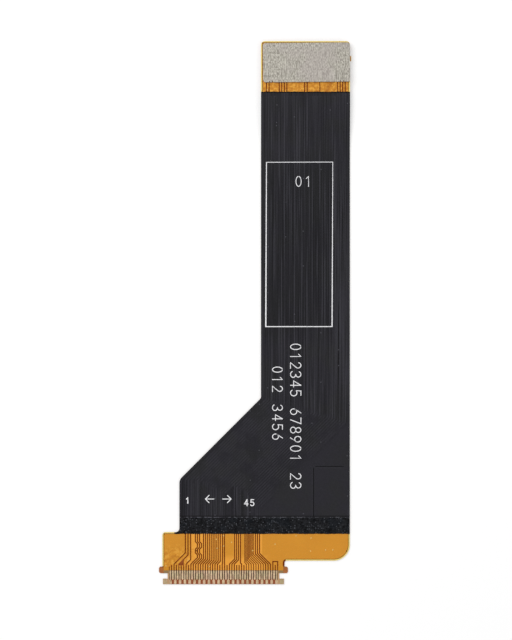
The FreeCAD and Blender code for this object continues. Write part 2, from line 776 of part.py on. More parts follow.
def plug_contact_row(name, side):
    """Return one row of the plug's contacts, each wrapped over a long wall."""
    body = doc.addObject("PartDesign::Body", name)
    sketch = new_sketch(body, f"{name}_section", "YZ_Plane")
    draw_loop(sketch, staple_corners("Sizes.plug_width / 2", "Sizes.plug_wall",
                                     "Sizes.plug_contact_thick", side))
    contact = pad(body, sketch, "Sizes.plug_contact_width", both_sides=True)
    repeat(body, contact, "X_Axis", "Sizes.plug_pitch", "Sizes.plug_contact_count")
    body.setExpression("Placement.Base.x",
                       f"{STEEL_X} - Sizes.plug_pitch * (Sizes.plug_contact_count - 1) / 2")
    body.setExpression("Placement.Base.y", STEEL_Y)
    return body


def plug_hold_down(name, side):
    """Return one of the clips that solder the plug's ends down."""
    section = staple_corners("Sizes.plug_length / 2", "Sizes.plug_end_wall", "Sizes.clip_thick", side)
    body = plate(name, [section], "Sizes.clip_width", plane="XZ_Plane", both_sides=True)
    seat_on_plug(body, "0")
    return body


def plug_housing(wrapped):
    """The plug's moulding: a low tray with a well, cut where its contacts and clips seat."""
    body = plate("plug_block", [rectangle("-Sizes.plug_length / 2", "Sizes.plug_length / 2",
                                          "-Sizes.plug_width / 2", "Sizes.plug_width / 2",
                                          "Sizes.plug_corner")], "Sizes.plug_height")
    well_length = "(Sizes.plug_length / 2 - Sizes.plug_end_wall)"
    well_width = "(Sizes.plug_width / 2 - Sizes.plug_wall)"
    sketch = new_sketch(body, "plug_well_outline", "XY_Plane")
    draw_loop(sketch, rectangle(f"-{well_length}", well_length, f"-{well_width}", well_width))
    well = body.newObject("PartDesign::Pocket", "plug_well")
    well.Profile = sketch
    well.Reversed = True
    well.setExpression("Length", "Sizes.plug_well_depth")
    seat_on_plug(body, "0")
    seats = doc.addObject("Part::MultiFuse", "plug_seats")
    seats.Shapes = wrapped
    result = doc.addObject("Part::Cut", "plug_housing")
    result.Base = body
    result.Tool = seats
    return result


def solder_lands():
    """The lands on the film's rear face under the feet of the contacts and clips."""
    margin = "Sizes.land_margin"
    half = f"Sizes.plug_contact_width / 2 + {margin}"
    near = "Sizes.plug_width / 2"
    far = f"{FOOT_REACH} + {margin}"
    middle = "Sizes.plug_pitch * (Sizes.plug_contact_count - 1) / 2"
    left = f"-{middle} - {half}"
    right = f"-{middle} + {half}"
    body = doc.addObject("PartDesign::Body", "solder_lands")
    contacts = new_sketch(body, "contact_land_outlines", "XY_Plane")
    draw_loop(contacts, rectangle(left, right, near, far))
    draw_loop(contacts, rectangle(left, right, f"-({far})", f"-{near}"))
    repeat(body, pad(body, contacts, "Sizes.land_thick"), "X_Axis", "Sizes.plug_pitch",
           "Sizes.plug_contact_count")
    clips = new_sketch(body, "clip_land_outlines", "XY_Plane")
    clip_near = "Sizes.plug_length / 2"
    clip_far = f"{clip_near} + Sizes.foot_length + {margin}"
    clip_half = f"Sizes.clip_width / 2 + {margin}"
    draw_loop(clips, rectangle(clip_near, clip_far, f"-({clip_half})", clip_half))
    draw_loop(clips, rectangle(f"-({clip_far})", f"-{clip_near}", f"-({clip_half})", clip_half))
    pad(body, clips, "Sizes.land_thick")
    seat_on_plug(body, "Sizes.plug_height")
    return body


def check(subparts):
    """Stop if an object failed to build, or a sub-part's shape is empty or not valid."""
    for item in doc.Objects:
        if "Invalid" in item.State or "Error" in item.State:
            raise RuntimeError(f"{item.Name} failed: {item.State}")
    for item in subparts:
        if item.Shape.isNull() or not item.Shape.isValid() or not item.Shape.Solids:
            raise RuntimeError(f"{item.Label} has no valid shape")


def main():
    """Build every sub-part and write each to its own file."""
    plug_contacts = [plug_contact_row("plug_contacts_far_row", 1),
                     plug_contact_row("plug_contacts_near_row", -1)]
    hold_downs = [plug_hold_down("plug_hold_down_left", -1), plug_hold_down("plug_hold_down_right", 1)]
    subparts = [
        base_film(),
        copper_foil(),
        tip_row_contacts(),
        rear_row_contacts(),
        ear_lands(),
        front_coverlay(),
        black_cover_film(),
        front_shield_film(),
        placement_frame(),
        rear_coverlay(),
        rear_shield_film(),
        tail_stiffener_adhesive(),
        tail_stiffener(),
        steel_stiffener_adhesive(),
        steel_stiffener(),
        plug_housing(plug_contacts + hold_downs),
        *plug_contacts,
        *hold_downs,
        solder_lands(),
    ]
    doc.recompute()
    check(subparts)
    os.makedirs("parts", exist_ok=True)
    for item in subparts:
        item.Shape.exportStep(f"parts/{item.Label}.step")
        box = item.Shape.BoundBox
        print(f"{item.Label}: {len(item.Shape.Solids)} solids, {item.Shape.Volume:.4f} mm3, "
              f"x {box.XMin:.3f} to {box.XMax:.3f}, y {box.YMin:.3f} to {box.YMax:.3f}, "
              f"z {box.ZMin:.4f} to {box.ZMax:.4f}")


main()
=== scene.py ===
import logging
import math
from dataclasses import dataclass, field
from enum import Enum
from typing import Any, Optional, Sequence

import bpy
import numpy as np
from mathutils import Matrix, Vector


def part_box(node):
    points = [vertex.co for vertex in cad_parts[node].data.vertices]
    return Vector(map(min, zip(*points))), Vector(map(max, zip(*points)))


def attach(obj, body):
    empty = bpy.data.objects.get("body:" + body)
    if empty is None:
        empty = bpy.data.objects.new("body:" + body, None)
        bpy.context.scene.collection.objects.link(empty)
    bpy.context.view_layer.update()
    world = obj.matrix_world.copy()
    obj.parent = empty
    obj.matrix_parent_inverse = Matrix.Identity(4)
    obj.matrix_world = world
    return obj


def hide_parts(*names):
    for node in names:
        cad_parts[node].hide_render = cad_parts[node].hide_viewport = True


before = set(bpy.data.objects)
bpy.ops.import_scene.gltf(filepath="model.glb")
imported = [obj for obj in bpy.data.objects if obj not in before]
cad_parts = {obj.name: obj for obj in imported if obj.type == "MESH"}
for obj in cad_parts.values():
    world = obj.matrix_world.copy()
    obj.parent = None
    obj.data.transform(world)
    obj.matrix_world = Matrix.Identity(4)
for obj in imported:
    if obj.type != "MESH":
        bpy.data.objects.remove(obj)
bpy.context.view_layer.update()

# Looks for the flat flex cable: its films, traces, contacts, steel, plug and printed marks.
# Lengths are in millimetres, in the frame of the CAD, and become metres as a mesh is made.
# The plain numbers in a finish are shares, of a colour or of a noise's range, or how far a
# mask takes to fade.

MM = 0.001
LOG = logging.getLogger("cable")
# Keeps a length of 0 from being divided by.
TINY = 1e-12
# How far the normal of an upright wall may be from level.
NEARLY_LEVEL = 0.05
Pair = tuple[float, float]
Triple = tuple[float, float, float]
Colour = Triple


@dataclass(frozen=True)
class Outline:
    """Places on the cable that several pieces and finishes share."""

    left_edge: float = -7.6
    right_edge: float = 15.72
    head_left: float = -5.48
    band_left: float = 4.67
    far_end: float = 67.5
    fill_level: float = 2.93
    fill_corner: float = 2.0
    shoulder_level: float = 6.48
    slope_level: float = 13.01
    shield_start: float = 8.28
    shield_end: float = 61.2


CABLE = Outline()


def srgb(red: int, green: int, blue: int) -> Colour:
    """Convert a screen colour to a linear one.

    Args:
        red: red, up to 255.
        green: green, up to 255.
        blue: blue, up to 255.

    Returns:
        The linear colour, each part up to 1.
    """
    parts = []
    for part in (red, green, blue):
        share = part / 255
        parts.append(share / 12.92 if share <= 0.04045 else ((share + 0.055) / 1.055) ** 2.4)
    return parts[0], parts[1], parts[2]


class Along(Enum):
    """The way that a grain runs: the axis of the place that it is drawn out on."""

    ACROSS = 0
    CABLE = 1
    NONE = 3


@dataclass(frozen=True)
class Grain:
    """A noise: lumps in a millimetre, finer noises on top, its way and how drawn out it is."""

    per_mm: float
    detail: float = 3.0
    along: Along = Along.NONE
    stretch: float = 20.0


@dataclass(frozen=True)
class Specks:
    """Round specks: how far apart their cells lie, how wide they are, and how many cells have one."""

    spacing: float
    size: float
    share: float


class Value:
    """A shader socket that adds Math nodes as it is used in an expression."""

    def __init__(self, graph: "Graph", socket: bpy.types.NodeSocket) -> None:
        """Wrap a socket of a graph."""
        self.graph = graph
        self.socket = socket

    def _math(self, operation: str, first: Any, second: Any) -> "Value":
        """Add one Math node and return its result."""
        return self.graph.value("ShaderNodeMath", {"operation": operation}, {0: first, 1: second})

    def __add__(self, other: Any) -> "Value":
        """Return this plus another."""
        return self._math("ADD", self, other)

    __radd__ = __add__

    def __sub__(self, other: Any) -> "Value":
        """Return this less another."""
        return self._math("SUBTRACT", self, other)

    def __rsub__(self, other: Any) -> "Value":
        """Return another less this."""
        return self._math("SUBTRACT", other, self)

    def __mul__(self, other: Any) -> "Value":
        """Return this times another."""
        return self._math("MULTIPLY", self, other)

    __rmul__ = __mul__

    def __or__(self, other: Any) -> "Value":
        """Return the larger of two, which joins two masks."""
        return self._math("MAXIMUM", self, other)

    def __and__(self, other: Any) -> "Value":
        """Return the smaller of two, which keeps what two masks share."""
        return self._math("MINIMUM", self, other)

    def above(self, limit: float, soft: float = 0.01) -> "Value":
        """Make a mask that rises from 0 to 1 as this passes a limit.

        Args:
            limit: where the mask is a half.
            soft: how far on each side of the limit it takes to rise.

        Returns:
            The mask.
        """
        ends = {"From Min": limit - soft, "From Max": limit + soft}
        settings = {"interpolation_type": "SMOOTHSTEP"}
        return self.graph.value("ShaderNodeMapRange", settings, {"Value": self, **ends})

    def below(self, limit: float, soft: float = 0.01) -> "Value":
        """Return a mask that falls from 1 to 0 as this passes a limit."""
        return 1.0 - self.above(limit, soft)

    def between(self, low: float, high: float, soft: float = 0.01) -> "Value":
        """Return a mask that is 1 between two limits."""
        return self.above(low, soft) & self.below(high, soft)

    def beyond(self, limit: float) -> "Value":
        """Return a mask of what lies further out than a limit, on either side."""
        return self.above(limit) | self.below(-limit)


class Graph:
    """One material's nodes, with a Principled shader that the finish fills in."""

    def __init__(self, name: str) -> None:
        """Make an empty material.

        Args:
            name: the material's name.
        """
        self.material = bpy.data.materials.new(name)
        self.material.use_nodes = True
        self.tree = self.material.node_tree
        self.tree.nodes.clear()
        output = self.node("ShaderNodeOutputMaterial")
        self.shader = self.node("ShaderNodeBsdfPrincipled")
        self.tree.links.new(self.shader.outputs[0], output.inputs["Surface"])

    def set_socket(self, socket: bpy.types.NodeSocket, given: Any) -> None:
        """Link or set a socket.

        Args:
            socket: the socket.
            given: a Value to link, or a colour, vector or number to set.
        """
        if isinstance(given, Value):
            self.tree.links.new(given.socket, socket)
        elif isinstance(given, tuple) and socket.type == "RGBA":
            socket.default_value = (*given, 1.0)
        else:
            socket.default_value = given

    def node(self, kind: str, settings: Optional[dict[str, Any]] = None,
             inputs: Optional[dict[Any, Any]] = None) -> bpy.types.Node:
        """Add a node, set its own settings first, and then set or link its sockets.

        Args:
            kind: the node's type.
            settings: attributes of the node.
            inputs: a number, colour or Value for each socket, by name or index.

        Returns:
            The node.
        """
        made = self.tree.nodes.new(kind)
        for key, setting in (settings or {}).items():
            setattr(made, key, setting)
        for key, given in (inputs or {}).items():
            self.set_socket(made.inputs[key], given)
        return made

    def value(self, kind: str, settings: Optional[dict[str, Any]] = None,
              inputs: Optional[dict[Any, Any]] = None, output: Any = 0) -> Value:
        """Add a node as node() does, and return one of its outputs."""
        return Value(self, self.node(kind, settings, inputs).outputs[output])

    def place(self) -> Value:
        """Return the place on the piece, in millimetres."""
        metres = self.value("ShaderNodeTexCoord", output="Object")
        return self.scaled(metres, (1 / MM, 1 / MM, 1 / MM))

    def scaled(self, place: Value, scale: Sequence[float]) -> Value:
        """Return a place with each axis scaled."""
        return self.value("ShaderNodeMapping", {"vector_type": "POINT"}, {"Vector": place, "Scale": scale})

    def axes(self) -> tuple[Value, Value, Value]:
        """Return the x, y and z of the place on the piece, in millimetres."""
        parts = self.node("ShaderNodeSeparateXYZ", inputs={0: self.place()})
        return tuple(Value(self, output) for output in parts.outputs)

    def noise(self, grain: Grain) -> Value:
        """Make a noise, which is the same at every height where it has a way, up a step too.

        Args:
            grain: the noise's sizes.

        Returns:
            A number from 0 to 1, mostly near a half.
        """
        scale = [1.0, 1.0, 1.0]
        if grain.along is not Along.NONE:
            scale[grain.along.value] = 1 / grain.stretch
            scale[2] = 0.0
        return self.value("ShaderNodeTexNoise", {"noise_dimensions": "3D"},
                          {"Vector": self.scaled(self.place(), scale), "Scale": grain.per_mm,
                           "Detail": grain.detail, "Roughness": 0.6})

    def specks(self, specks: Specks) -> Value:
        """Make a mask of small round specks, in some of the cells of a random lattice.

        Args:
            specks: the specks' sizes.

        Returns:
            The mask.
        """
        cells = self.node("ShaderNodeTexVoronoi", {"voronoi_dimensions": "2D", "feature": "F1"},
                          {"Vector": self.place(), "Scale": 1 / specks.spacing})
        width = specks.size / specks.spacing
        near = Value(self, cells.outputs["Distance"]).below(width / 2, width / 5)
        chance = self.node("ShaderNodeSeparateColor", inputs={0: Value(self, cells.outputs["Color"])})
        return near * Value(self, chance.outputs[0]).below(specks.share)

    def blend(self, factor: Any, first: Any, second: Any) -> Value:
        """Mix two colours.

        Args:
            factor: how much of the second, from 0 to 1.
            first: one colour.
            second: the other.

        Returns:
            The mixed colour.
        """
        made = self.node("ShaderNodeMix", {"data_type": "RGBA", "clamp_factor": True},
                         {0: factor, 6: first, 7: second})
        return Value(self, made.outputs[2])

    def coats(self, colour: Any, *coats: tuple[Any, Any]) -> Value:
        """Lay coats of colour over each other.

        Args:
            colour: the colour below them all.
            coats: each coat's mask, from 0 to 1, and its colour, from the lowest up.

        Returns:
            The colour on top.
        """
        for mask, tone in coats:
            colour = self.blend(mask, colour, tone)
        return colour

    def bump(self, height: Value, depth: float) -> Value:
        """Return a normal for a height from 0 to 1 that is that many millimetres deep."""
        return self.value("ShaderNodeBump", inputs={"Height": height, "Distance": depth * MM})

    def attribute(self, name: str) -> Value:
        """Return a number that the piece's mesh carries at each vertex."""
        settings = {"attribute_name": name, "attribute_type": "GEOMETRY"}
        return self.value("ShaderNodeAttribute", settings, output="Fac")

    def paint(self, **sockets: Any) -> None:
        """Set or link the Principled shader's sockets.

        Args:
            sockets: a colour, number or Value for each, named with underscores for spaces.
        """
        for name, given in sockets.items():
            title = name.replace("_", " ").title().replace("Ior", "IOR")
            self.set_socket(self.shader.inputs[title], given)


@dataclass(frozen=True)
class Finish:
    """A surface finish: a name, and a method that fills in a material's nodes."""

    name: str

    def fill(self, graph: Graph) -> None:
        """Fill in a material's nodes."""
        raise NotImplementedError

    def material(self) -> bpy.types.Material:
        """Find the finish's material, or make it.

        Returns:
            The material, which is made once.
        """
        found = bpy.data.materials.get(self.name)
        if found:
            return found
        graph = Graph(self.name)
        self.fill(graph)
        return graph.material


@dataclass(frozen=True)
class BareFilm(Finish):
    """Base film: painted shade in narrow gaps, painted light at its edges, red-brown where the tail is
    bare.
    """

    # Painted shade: the film's amber darkened to red-black where narrow gaps between traces show it.
    gap_shade: Colour = (0.13, 0.003, 0.0)
    wide_gap: Colour = srgb(156, 80, 40)
    # Painted light: the film's edges made pale, with light shining up through them painted in.
    backlit_rim: Colour = (1.0, 0.83, 0.24)
    shoulder: Colour = (0.75, 0.33, 0.03)
    ear: Colour = srgb(150, 124, 84)
    tail: Colour = srgb(26, 14, 8)
    tip: Colour = srgb(150, 86, 54)
    notch: Colour = srgb(196, 160, 120)
    lobe: Colour = srgb(176, 110, 62)
    lobe_edge: Colour = srgb(104, 62, 34)
    nub: Colour = srgb(206, 132, 84)
    back: Colour = srgb(184, 112, 42)
    mottle: Grain = Grain(5.0)
    surface: Grain = Grain(14.0)
    rim_width: float = 0.15
    shoulder_end: float = -5.7
    band_start: float = 30.0
    wide_gap_sides: Pair = (-5.7, -4.95)
    wide_gap_levels: Pair = (2.2, 3.2)
    root_level: float = 1.72
    tail_overlap: float = 0.02
    tip_level: float = 0.62
    contact_reach: float = 6.74
    nub_start: float = 0.02
    nub_rim: float = 0.12
    lobe_levels: Pair = (1.35, 2.25)
    lobe_inner: float = 7.45
    lobe_cut: float = 0.14
    ear_inner: float = 6.8
    tail_back: float = 0.133
    plug_back: float = 0.676
    step_level: float = 56.0

    def edges(self, graph: Graph, x: Value, y: Value) -> Value:
        """Find the cut edges that show from above, where light shining through the film is painted.

        Args:
            graph: the material's nodes.
            x: the place across the cable.
            y: the place along it.

        Returns:
            A mask of the film within rim_width of an edge.
        """
        width = self.rim_width
        sides = x.above(CABLE.right_edge - width) | x.below(CABLE.left_edge + width)
        low = y.below(CABLE.fill_level + width) & x.above(-CABLE.left_edge + width)
        shoulder = y.above(CABLE.shoulder_level - width) & x.below(self.shoulder_end)
        band = x.below(CABLE.band_left + width) & y.above(self.band_start)
        radius = CABLE.fill_corner
        centre = (CABLE.right_edge - radius, CABLE.fill_level + radius, 0.0)
        reach = graph.value("ShaderNodeVectorMath", {"operation": "DISTANCE"},
                            {0: graph.scaled(graph.place(), (1.0, 1.0, 0.0)), 1: centre}, "Value")
        corner = reach.above(radius - width) & x.above(centre[0]) & y.below(centre[1])
        return sides | y.above(CABLE.far_end - width) | low | shoulder | band | corner

    def fill(self, graph: Graph) -> None:
        """Mix the colours by how near the edge, and how near the tip, a point lies.

        Args:
            graph: the material's nodes.
        """
        x, y, z = graph.axes()
        mottle = graph.noise(self.mottle)
        wide = x.between(*self.wide_gap_sides) & y.between(*self.wide_gap_levels)
        rooted = y.below(self.root_level)
        level = y.between(*self.lobe_levels)
        lobe = level & x.beyond(self.lobe_inner)
        ear = level & x.beyond(self.ear_inner)
        cut = y.above(self.lobe_levels[1] - self.lobe_cut, 0.06) | mottle.above(0.6, 0.08) * 0.5
        back = z.below(self.tail_back, 0.003) & y.below(self.step_level)
        back = back | (z.below(self.plug_back, 0.003) & y.above(self.step_level))
        colour = graph.coats(
            self.gap_shade,
            (wide * mottle.above(0.42, 0.15), self.wide_gap),
            # Painted light shining through the cut edges.
            (self.edges(graph, x, y), self.backlit_rim),
            (y.below(self.root_level + self.tail_overlap), self.tail),
            (y.below(self.tip_level, 0.08), self.tip),
            (x.beyond(self.contact_reach) & rooted, self.notch),
            (x.above(CABLE.right_edge + self.nub_start), self.nub),
            # The nub's outer half takes the same painted light as the edges.
            (x.above(CABLE.right_edge + self.nub_rim, 0.03), self.backlit_rim),
            (ear, self.ear),
            (ear & y.above(self.root_level), self.shoulder),
            (lobe, self.lobe),
            ((lobe & cut) * 0.8, self.lobe_edge),
            (back, self.back),
        )
        colour = graph.blend(mottle * 0.3, colour, graph.blend(0.6, colour, self.gap_shade))
        graph.paint(base_color=colour, roughness=0.35 + 0.15 * mottle, specular_ior_level=0.1,
                    normal=graph.bump(graph.noise(self.surface), depth=0.002))


@dataclass(frozen=True)
class CopperFoil(Finish):
    """Rolled copper, as bright as it shows through the amber film."""

    light: Colour = (0.81, 0.37, 0.042)
    dull: Colour = (0.68, 0.288, 0.034)
    # Painted highlight: lighter copper where it runs in narrow traces and in the fan.
    trace_highlight: Colour = (1.0, 0.46, 0.07)
    pale: Colour = (1.0, 0.56, 0.1)
    stain: Colour = (0.42, 0.14, 0.02)
    cloud: Grain = Grain(0.25, 2.0)
    rolled: Grain = Grain(6.0, 3.0, Along.CABLE, 8.0)
    spots: Grain = Grain(2.8)
    fan_sides: Pair = (-5.0, 5.2)
    fan_level: float = 3.4
    bundles: tuple[Pair, ...] = ((-4.05, -0.05), (1.3, 2.2), (2.6, 4.8))
    near_window_end: float = 6.3
    far_window_start: float = 61.0
    corner_place: Pair = (-3.4, 4.6)
    stain_place: float = 12.45
    stain_width: float = 0.5
    stain_slant: float = 0.45

    def fill(self, graph: Graph) -> None:
        """Cloud the copper softly, and paint a highlight on it where it runs in narrow traces.

        It is mottled in the far window and at the near window's left corner.

        Args:
            graph: the material's nodes.
        """
        x, y, _ = graph.axes()
        rolled = graph.noise(self.rolled)
        spots = graph.noise(self.spots)
        # Where the painted highlight goes: the fan and the bundles of narrow traces in the near window.
        trace_highlight = y.below(self.fan_level, 0.5) & x.between(*self.fan_sides, 0.8)
        for sides in self.bundles:
            trace_highlight = trace_highlight | x.between(*sides, 0.1)
        trace_highlight = trace_highlight & y.below(self.near_window_end, 0.1)
        far = y.above(self.far_window_start, 0.1)
        corner_right, corner_top = self.corner_place
        mottled = far | (y.below(corner_top, 0.8) & x.below(corner_right, 1.2)) * 0.8
        slanted = x - self.stain_slant * (y - self.far_window_start)
        stain = far & slanted.between(self.stain_place, self.stain_place + self.stain_width, 0.15)
        colour = graph.coats(
            self.dull,
            (graph.noise(self.cloud) * 0.7 + rolled * 0.3, self.light),
            (trace_highlight * 0.8, self.trace_highlight),
            (far * 0.2, self.stain),
            (mottled * spots.above(0.56, 0.06) * 0.55, self.pale),
            (mottled * spots.below(0.43, 0.06) * 0.5, self.stain),
            (stain * 0.6, self.stain),
        )
        graph.paint(base_color=colour, metallic=0.1, roughness=0.45 + 0.12 * rolled,
                    specular_ior_level=0.1, normal=graph.bump(rolled, depth=0.001))


@dataclass(frozen=True)
class Coverlay(Finish):
    """Clear amber film: most of what lies under it shows through."""

    tint: Colour = (0.5, 0.2, 0.008)
    dust: Colour = (1.0, 0.7, 0.22)
    pit: Colour = (0.12, 0.03, 0.004)
    dust_specks: Specks = Specks(0.9, 0.17, 0.15)
    pit_specks: Specks = Specks(1.7, 0.15, 0.14)
    satin: Grain = Grain(5.0)
    waves: Grain = Grain(1.6, 4.0)
    cover: float = 0.06
    speck_cover: float = 0.55

    def fill(self, graph: Graph) -> None:
        """Lay a thin tint with a few dust specks and pits, under a satin top.

        Args:
            graph: the material's nodes.
        """
        dust = graph.specks(self.dust_specks)
        pits = graph.specks(self.pit_specks)
        graph.paint(base_color=graph.coats(self.tint, (dust, self.dust), (pits, self.pit)),
                    roughness=0.34 + 0.1 * graph.noise(self.satin), specular_ior_level=0.2,
                    alpha=self.cover + self.speck_cover * (dust | pits),
                    normal=graph.bump(graph.noise(self.waves), depth=0.003))


@dataclass(frozen=True)
class SolidFilm(Finish):
    """An amber film or glue that hides what lies under it."""

    light: Colour = srgb(196, 124, 46)
    dark: Colour = srgb(172, 100, 34)
    roughness: float = 0.35
    cloud: Grain = Grain(1.6, 5.0)
    surface: Grain = Grain(8.0)

    def fill(self, graph: Graph) -> None:
        """Cloud two shades into each other over a faintly uneven surface.

        Args:
            graph: the material's nodes.
        """
        cloud = graph.noise(self.cloud)
        graph.paint(base_color=graph.blend(cloud, self.dark, self.light),
                    roughness=self.roughness + 0.15 * cloud, specular_ior_level=0.35,
                    normal=graph.bump(graph.noise(self.surface), depth=0.002))


@dataclass(frozen=True)
class Plating(Finish):
    """Thin gold over nickel, pale, with fine scratches along the contacts."""

    light: Colour = srgb(248, 221, 182)
    dull: Colour = srgb(160, 128, 90)
    rosy: Colour = srgb(216, 176, 150)
    greenish: Colour = srgb(190, 176, 136)
    scratches: Grain = Grain(7.0, 4.0, Along.CABLE, 6.0)
    spots: Grain = Grain(2.5, 4.0)
    hue: Grain = Grain(0.9, 4.0)

    def fill(self, graph: Graph) -> None:
        """Streak two shades along the cable, cloud two more hues in, and roughen the dull.

        Args:
            graph: the material's nodes.
        """
        scratches = graph.noise(self.scratches)
        hue = graph.noise(self.hue)
        worn = (scratches * 0.6 + graph.noise(self.spots) * 0.4).above(0.48, 0.2)
        colour = graph.coats(self.dull, (worn, self.light),
                             (hue.above(0.54, 0.05) * 0.5, self.rosy),
                             (hue.below(0.44, 0.05) * 0.5, self.greenish))
        graph.paint(base_color=colour, metallic=0.6, roughness=0.4 + 0.2 * scratches,
                    normal=graph.bump(scratches, depth=0.002))


@dataclass(frozen=True)
class ShieldFilm(Finish):
    """Black shielding film: traces below show as painted sheen and shade, with a broken glint at its edge.

    Each seam has its place across itself, then where it starts and ends. What only the
    front film shows is as strong as front says, which is 0 for the rear film.
    """

    cool: Colour = srgb(33, 32, 38)
    warm: Colour = srgb(33, 33, 35)
    # Painted sheen where the relief of the traces catches light; also the paler flecks of the grain.
    line: Colour = srgb(64, 63, 70)
    # Painted shade in the grooves and seams of the relief and by the edges; also darker grain.
    deep: Colour = srgb(6, 6, 9)
    glint: Colour = srgb(100, 100, 108)
    hue: Grain = Grain(0.3, 2.0)
    patches: Grain = Grain(0.45, 2.0)
    streaks: Grain = Grain(9.0, 2.0, Along.CABLE, 160.0)
    singles: Grain = Grain(4.0, 2.0, Along.CABLE, 60.0)
    body: Grain = Grain(7.0)
    dashes: Grain = Grain(2.6, 5.0)
    specks: Specks = Specks(1.1, 0.13, 0.07)
    dark_sides: Pair = (5.3, 13.4)
    dark_levels: Pair = (31.0, 53.0)
    beside_levels: Pair = (24.0, 50.0)
    seam_across: Triple = (14.65, 11.45, 14.95)
    seam_along: Triple = (11.2, 8.3, 14.5)
    seam_half: float = 0.07
    seam_flank: float = -0.14
    glint_band: Pair = (0.01, 0.1)
    shade_band: Pair = (0.12, 0.26)
    end_shade: float = 0.14
    side_shade: float = 0.11
    front: float = 1.0

    def seams(self, x: Value, y: Value, offset: float) -> Value:
        """Find the two seams of the copper plane below.

        Args:
            x: the place across the cable.
            y: the place along it.
            offset: how far the seams are moved.

        Returns:
            A mask of the seams.
        """
        level, left, right = self.seam_across
        place, low, high = self.seam_along
        near, far = offset - self.seam_half, offset + self.seam_half
        across = y.between(level + near, level + far) & x.above(left, 0.1) & x.below(right, 0.2)
        return across | (x.between(place + near, place + far) & y.above(low) & y.below(high, 0.1))

    def borders(self, graph: Graph, x: Value, y: Value) -> tuple[Value, Value]:
        """Find the film's own edges.

        Args:
            graph: the material's nodes.
            x: the place across the cable.
            y: the place along it.

        Returns:
            Masks of the broken glint along the near edge, and of the dark beside the edges.
        """
        level = y - CABLE.shield_start
        first = level.above(self.glint_band[0], 0.02) & level.below(self.glint_band[1], 0.03)
        behind = level.above(self.shade_band[0], 0.03) & level.below(self.shade_band[1], 0.05)
        far = y.above(CABLE.shield_end - self.end_shade, 0.05)
        right = x.above(CABLE.right_edge - self.side_shade, 0.03)
        return first * graph.noise(self.dashes).above(0.53, 0.03), behind | far | right

    def fill(self, graph: Graph) -> None:
        """Paint sheen on the lines that the mesh's relief attribute marks, over a clouded body.

        Each line is as strong as a long noise says. Where traces slant, a patchy noise
        breaks them up.

        Args:
            graph: the material's nodes.
        """
        x, y, _ = graph.axes()
        relief, slope = graph.attribute("relief"), graph.attribute("slope")
        lined = graph.attribute("lined") | (1.0 - self.front)
        straight = 1.0 - 0.9 * slope
        patchy = graph.noise(self.patches).above(0.48, 0.12) * slope * lined
        streak = graph.noise(self.streaks)
        single = graph.noise(self.singles).above(0.55, 0.06)
        grain = graph.noise(self.body)
        dark = x.between(*self.dark_sides, 0.3) & y.between(*self.dark_levels, 2.0)
        beside = x.above(self.dark_sides[1] + 0.3, 0.3)
        beside = beside & y.above(self.beside_levels[0], 3.0) & y.below(self.beside_levels[1], 4.0)
        streaked = lined * straight * (1.0 + beside * (0.7 * self.front))
        # How strong the painted sheen on each relief line is.
        drawn = relief.above(0.75, 0.2) * ((0.08 + 0.5 * single) * straight + 0.3 * patchy)
        glint, shade = self.borders(graph, x, y)
        colour = graph.coats(
            self.warm,
            (graph.noise(self.hue).above(0.48, 0.12), self.cool),
            (dark * (0.45 * self.front), self.deep),
            (beside * (0.25 * self.front), self.line),
            ((1.0 - lined) * 0.12, self.line),
            # Painted shade and sheen: darker and lighter streaks along straight traces.
            (streak.below(0.43, 0.05) * streaked * 0.65, self.deep),
            (streak.above(0.6, 0.06) * streaked * 0.3, self.line),
            # Painted sheen on the relief lines.
            (drawn, self.line),
            (relief.below(0.3, 0.25) * patchy * 0.5, self.deep),
            # Painted sheen beside the seams of the copper plane, and painted shade in them.
            (self.seams(x, y, self.seam_flank) * (0.15 * self.front), self.line),
            (self.seams(x, y, 0.0) * (0.9 * self.front), self.deep),
            (grain.above(0.6, 0.06) * 0.1, self.line),
            (grain.below(0.42, 0.06) * 0.15, self.deep),
            (graph.specks(self.specks) * 0.5, self.glint),
            (glint * 0.6, self.glint),
            (shade * 0.8, self.deep),
        )
        graph.paint(base_color=colour, roughness=0.48 + 0.16 * grain, specular_ior_level=0.14,
                    normal=graph.bump(grain * 0.6 + streak * 0.4, depth=0.006))


@dataclass(frozen=True)
class DullBlack(Finish):
    """The dull black film below the shield: dark, coarse and flecked."""

    body: Colour = srgb(4, 4, 6)
    middle: Colour = srgb(36, 37, 40)
    pale: Colour = srgb(92, 94, 101)
    blue: Colour = srgb(14, 22, 30)
    coarse: Grain = Grain(2.4, 6.0)
    fine: Grain = Grain(6.0)
    hue: Grain = Grain(0.7)
    flecks: Specks = Specks(0.26, 0.12, 0.3)

    def fill(self, graph: Graph) -> None:
        """Fleck a near black body and roughen it with a coarse bump.

        Args:
            graph: the material's nodes.
        """
        coarse = graph.noise(self.coarse)
        fine = graph.noise(self.fine)
        colour = graph.coats(
            self.body,
            ((coarse * 0.5 + fine * 0.5).above(0.5, 0.12), self.middle),
            (graph.noise(self.hue).above(0.56, 0.05) * 0.3, self.blue),
            (graph.specks(self.flecks) * fine.above(0.45, 0.2) * 0.8, self.pale),
        )
        graph.paint(base_color=colour, roughness=0.66 + 0.2 * coarse, specular_ior_level=0.1,
                    normal=graph.bump(coarse * 0.6 + fine * 0.4, depth=0.03))


@dataclass(frozen=True)
class PrintedInk(Finish):
    """White ink, a little thin in places."""

    light: Colour = srgb(243, 243, 245)
    thin: Colour = srgb(206, 206, 210)
    patches: Grain = Grain(4.0, 4.0)
    surface: Grain = Grain(12.0)

    def fill(self, graph: Graph) -> None:
        """Let small patches of the ink print thin.

        Args:
            graph: the material's nodes.
        """
        patch = graph.noise(self.patches).below(0.44, 0.1)
        graph.paint(base_color=graph.blend(patch * 0.8, self.light, self.thin), roughness=0.6,
                    specular_ior_level=0.2, normal=graph.bump(graph.noise(self.surface), depth=0.003))


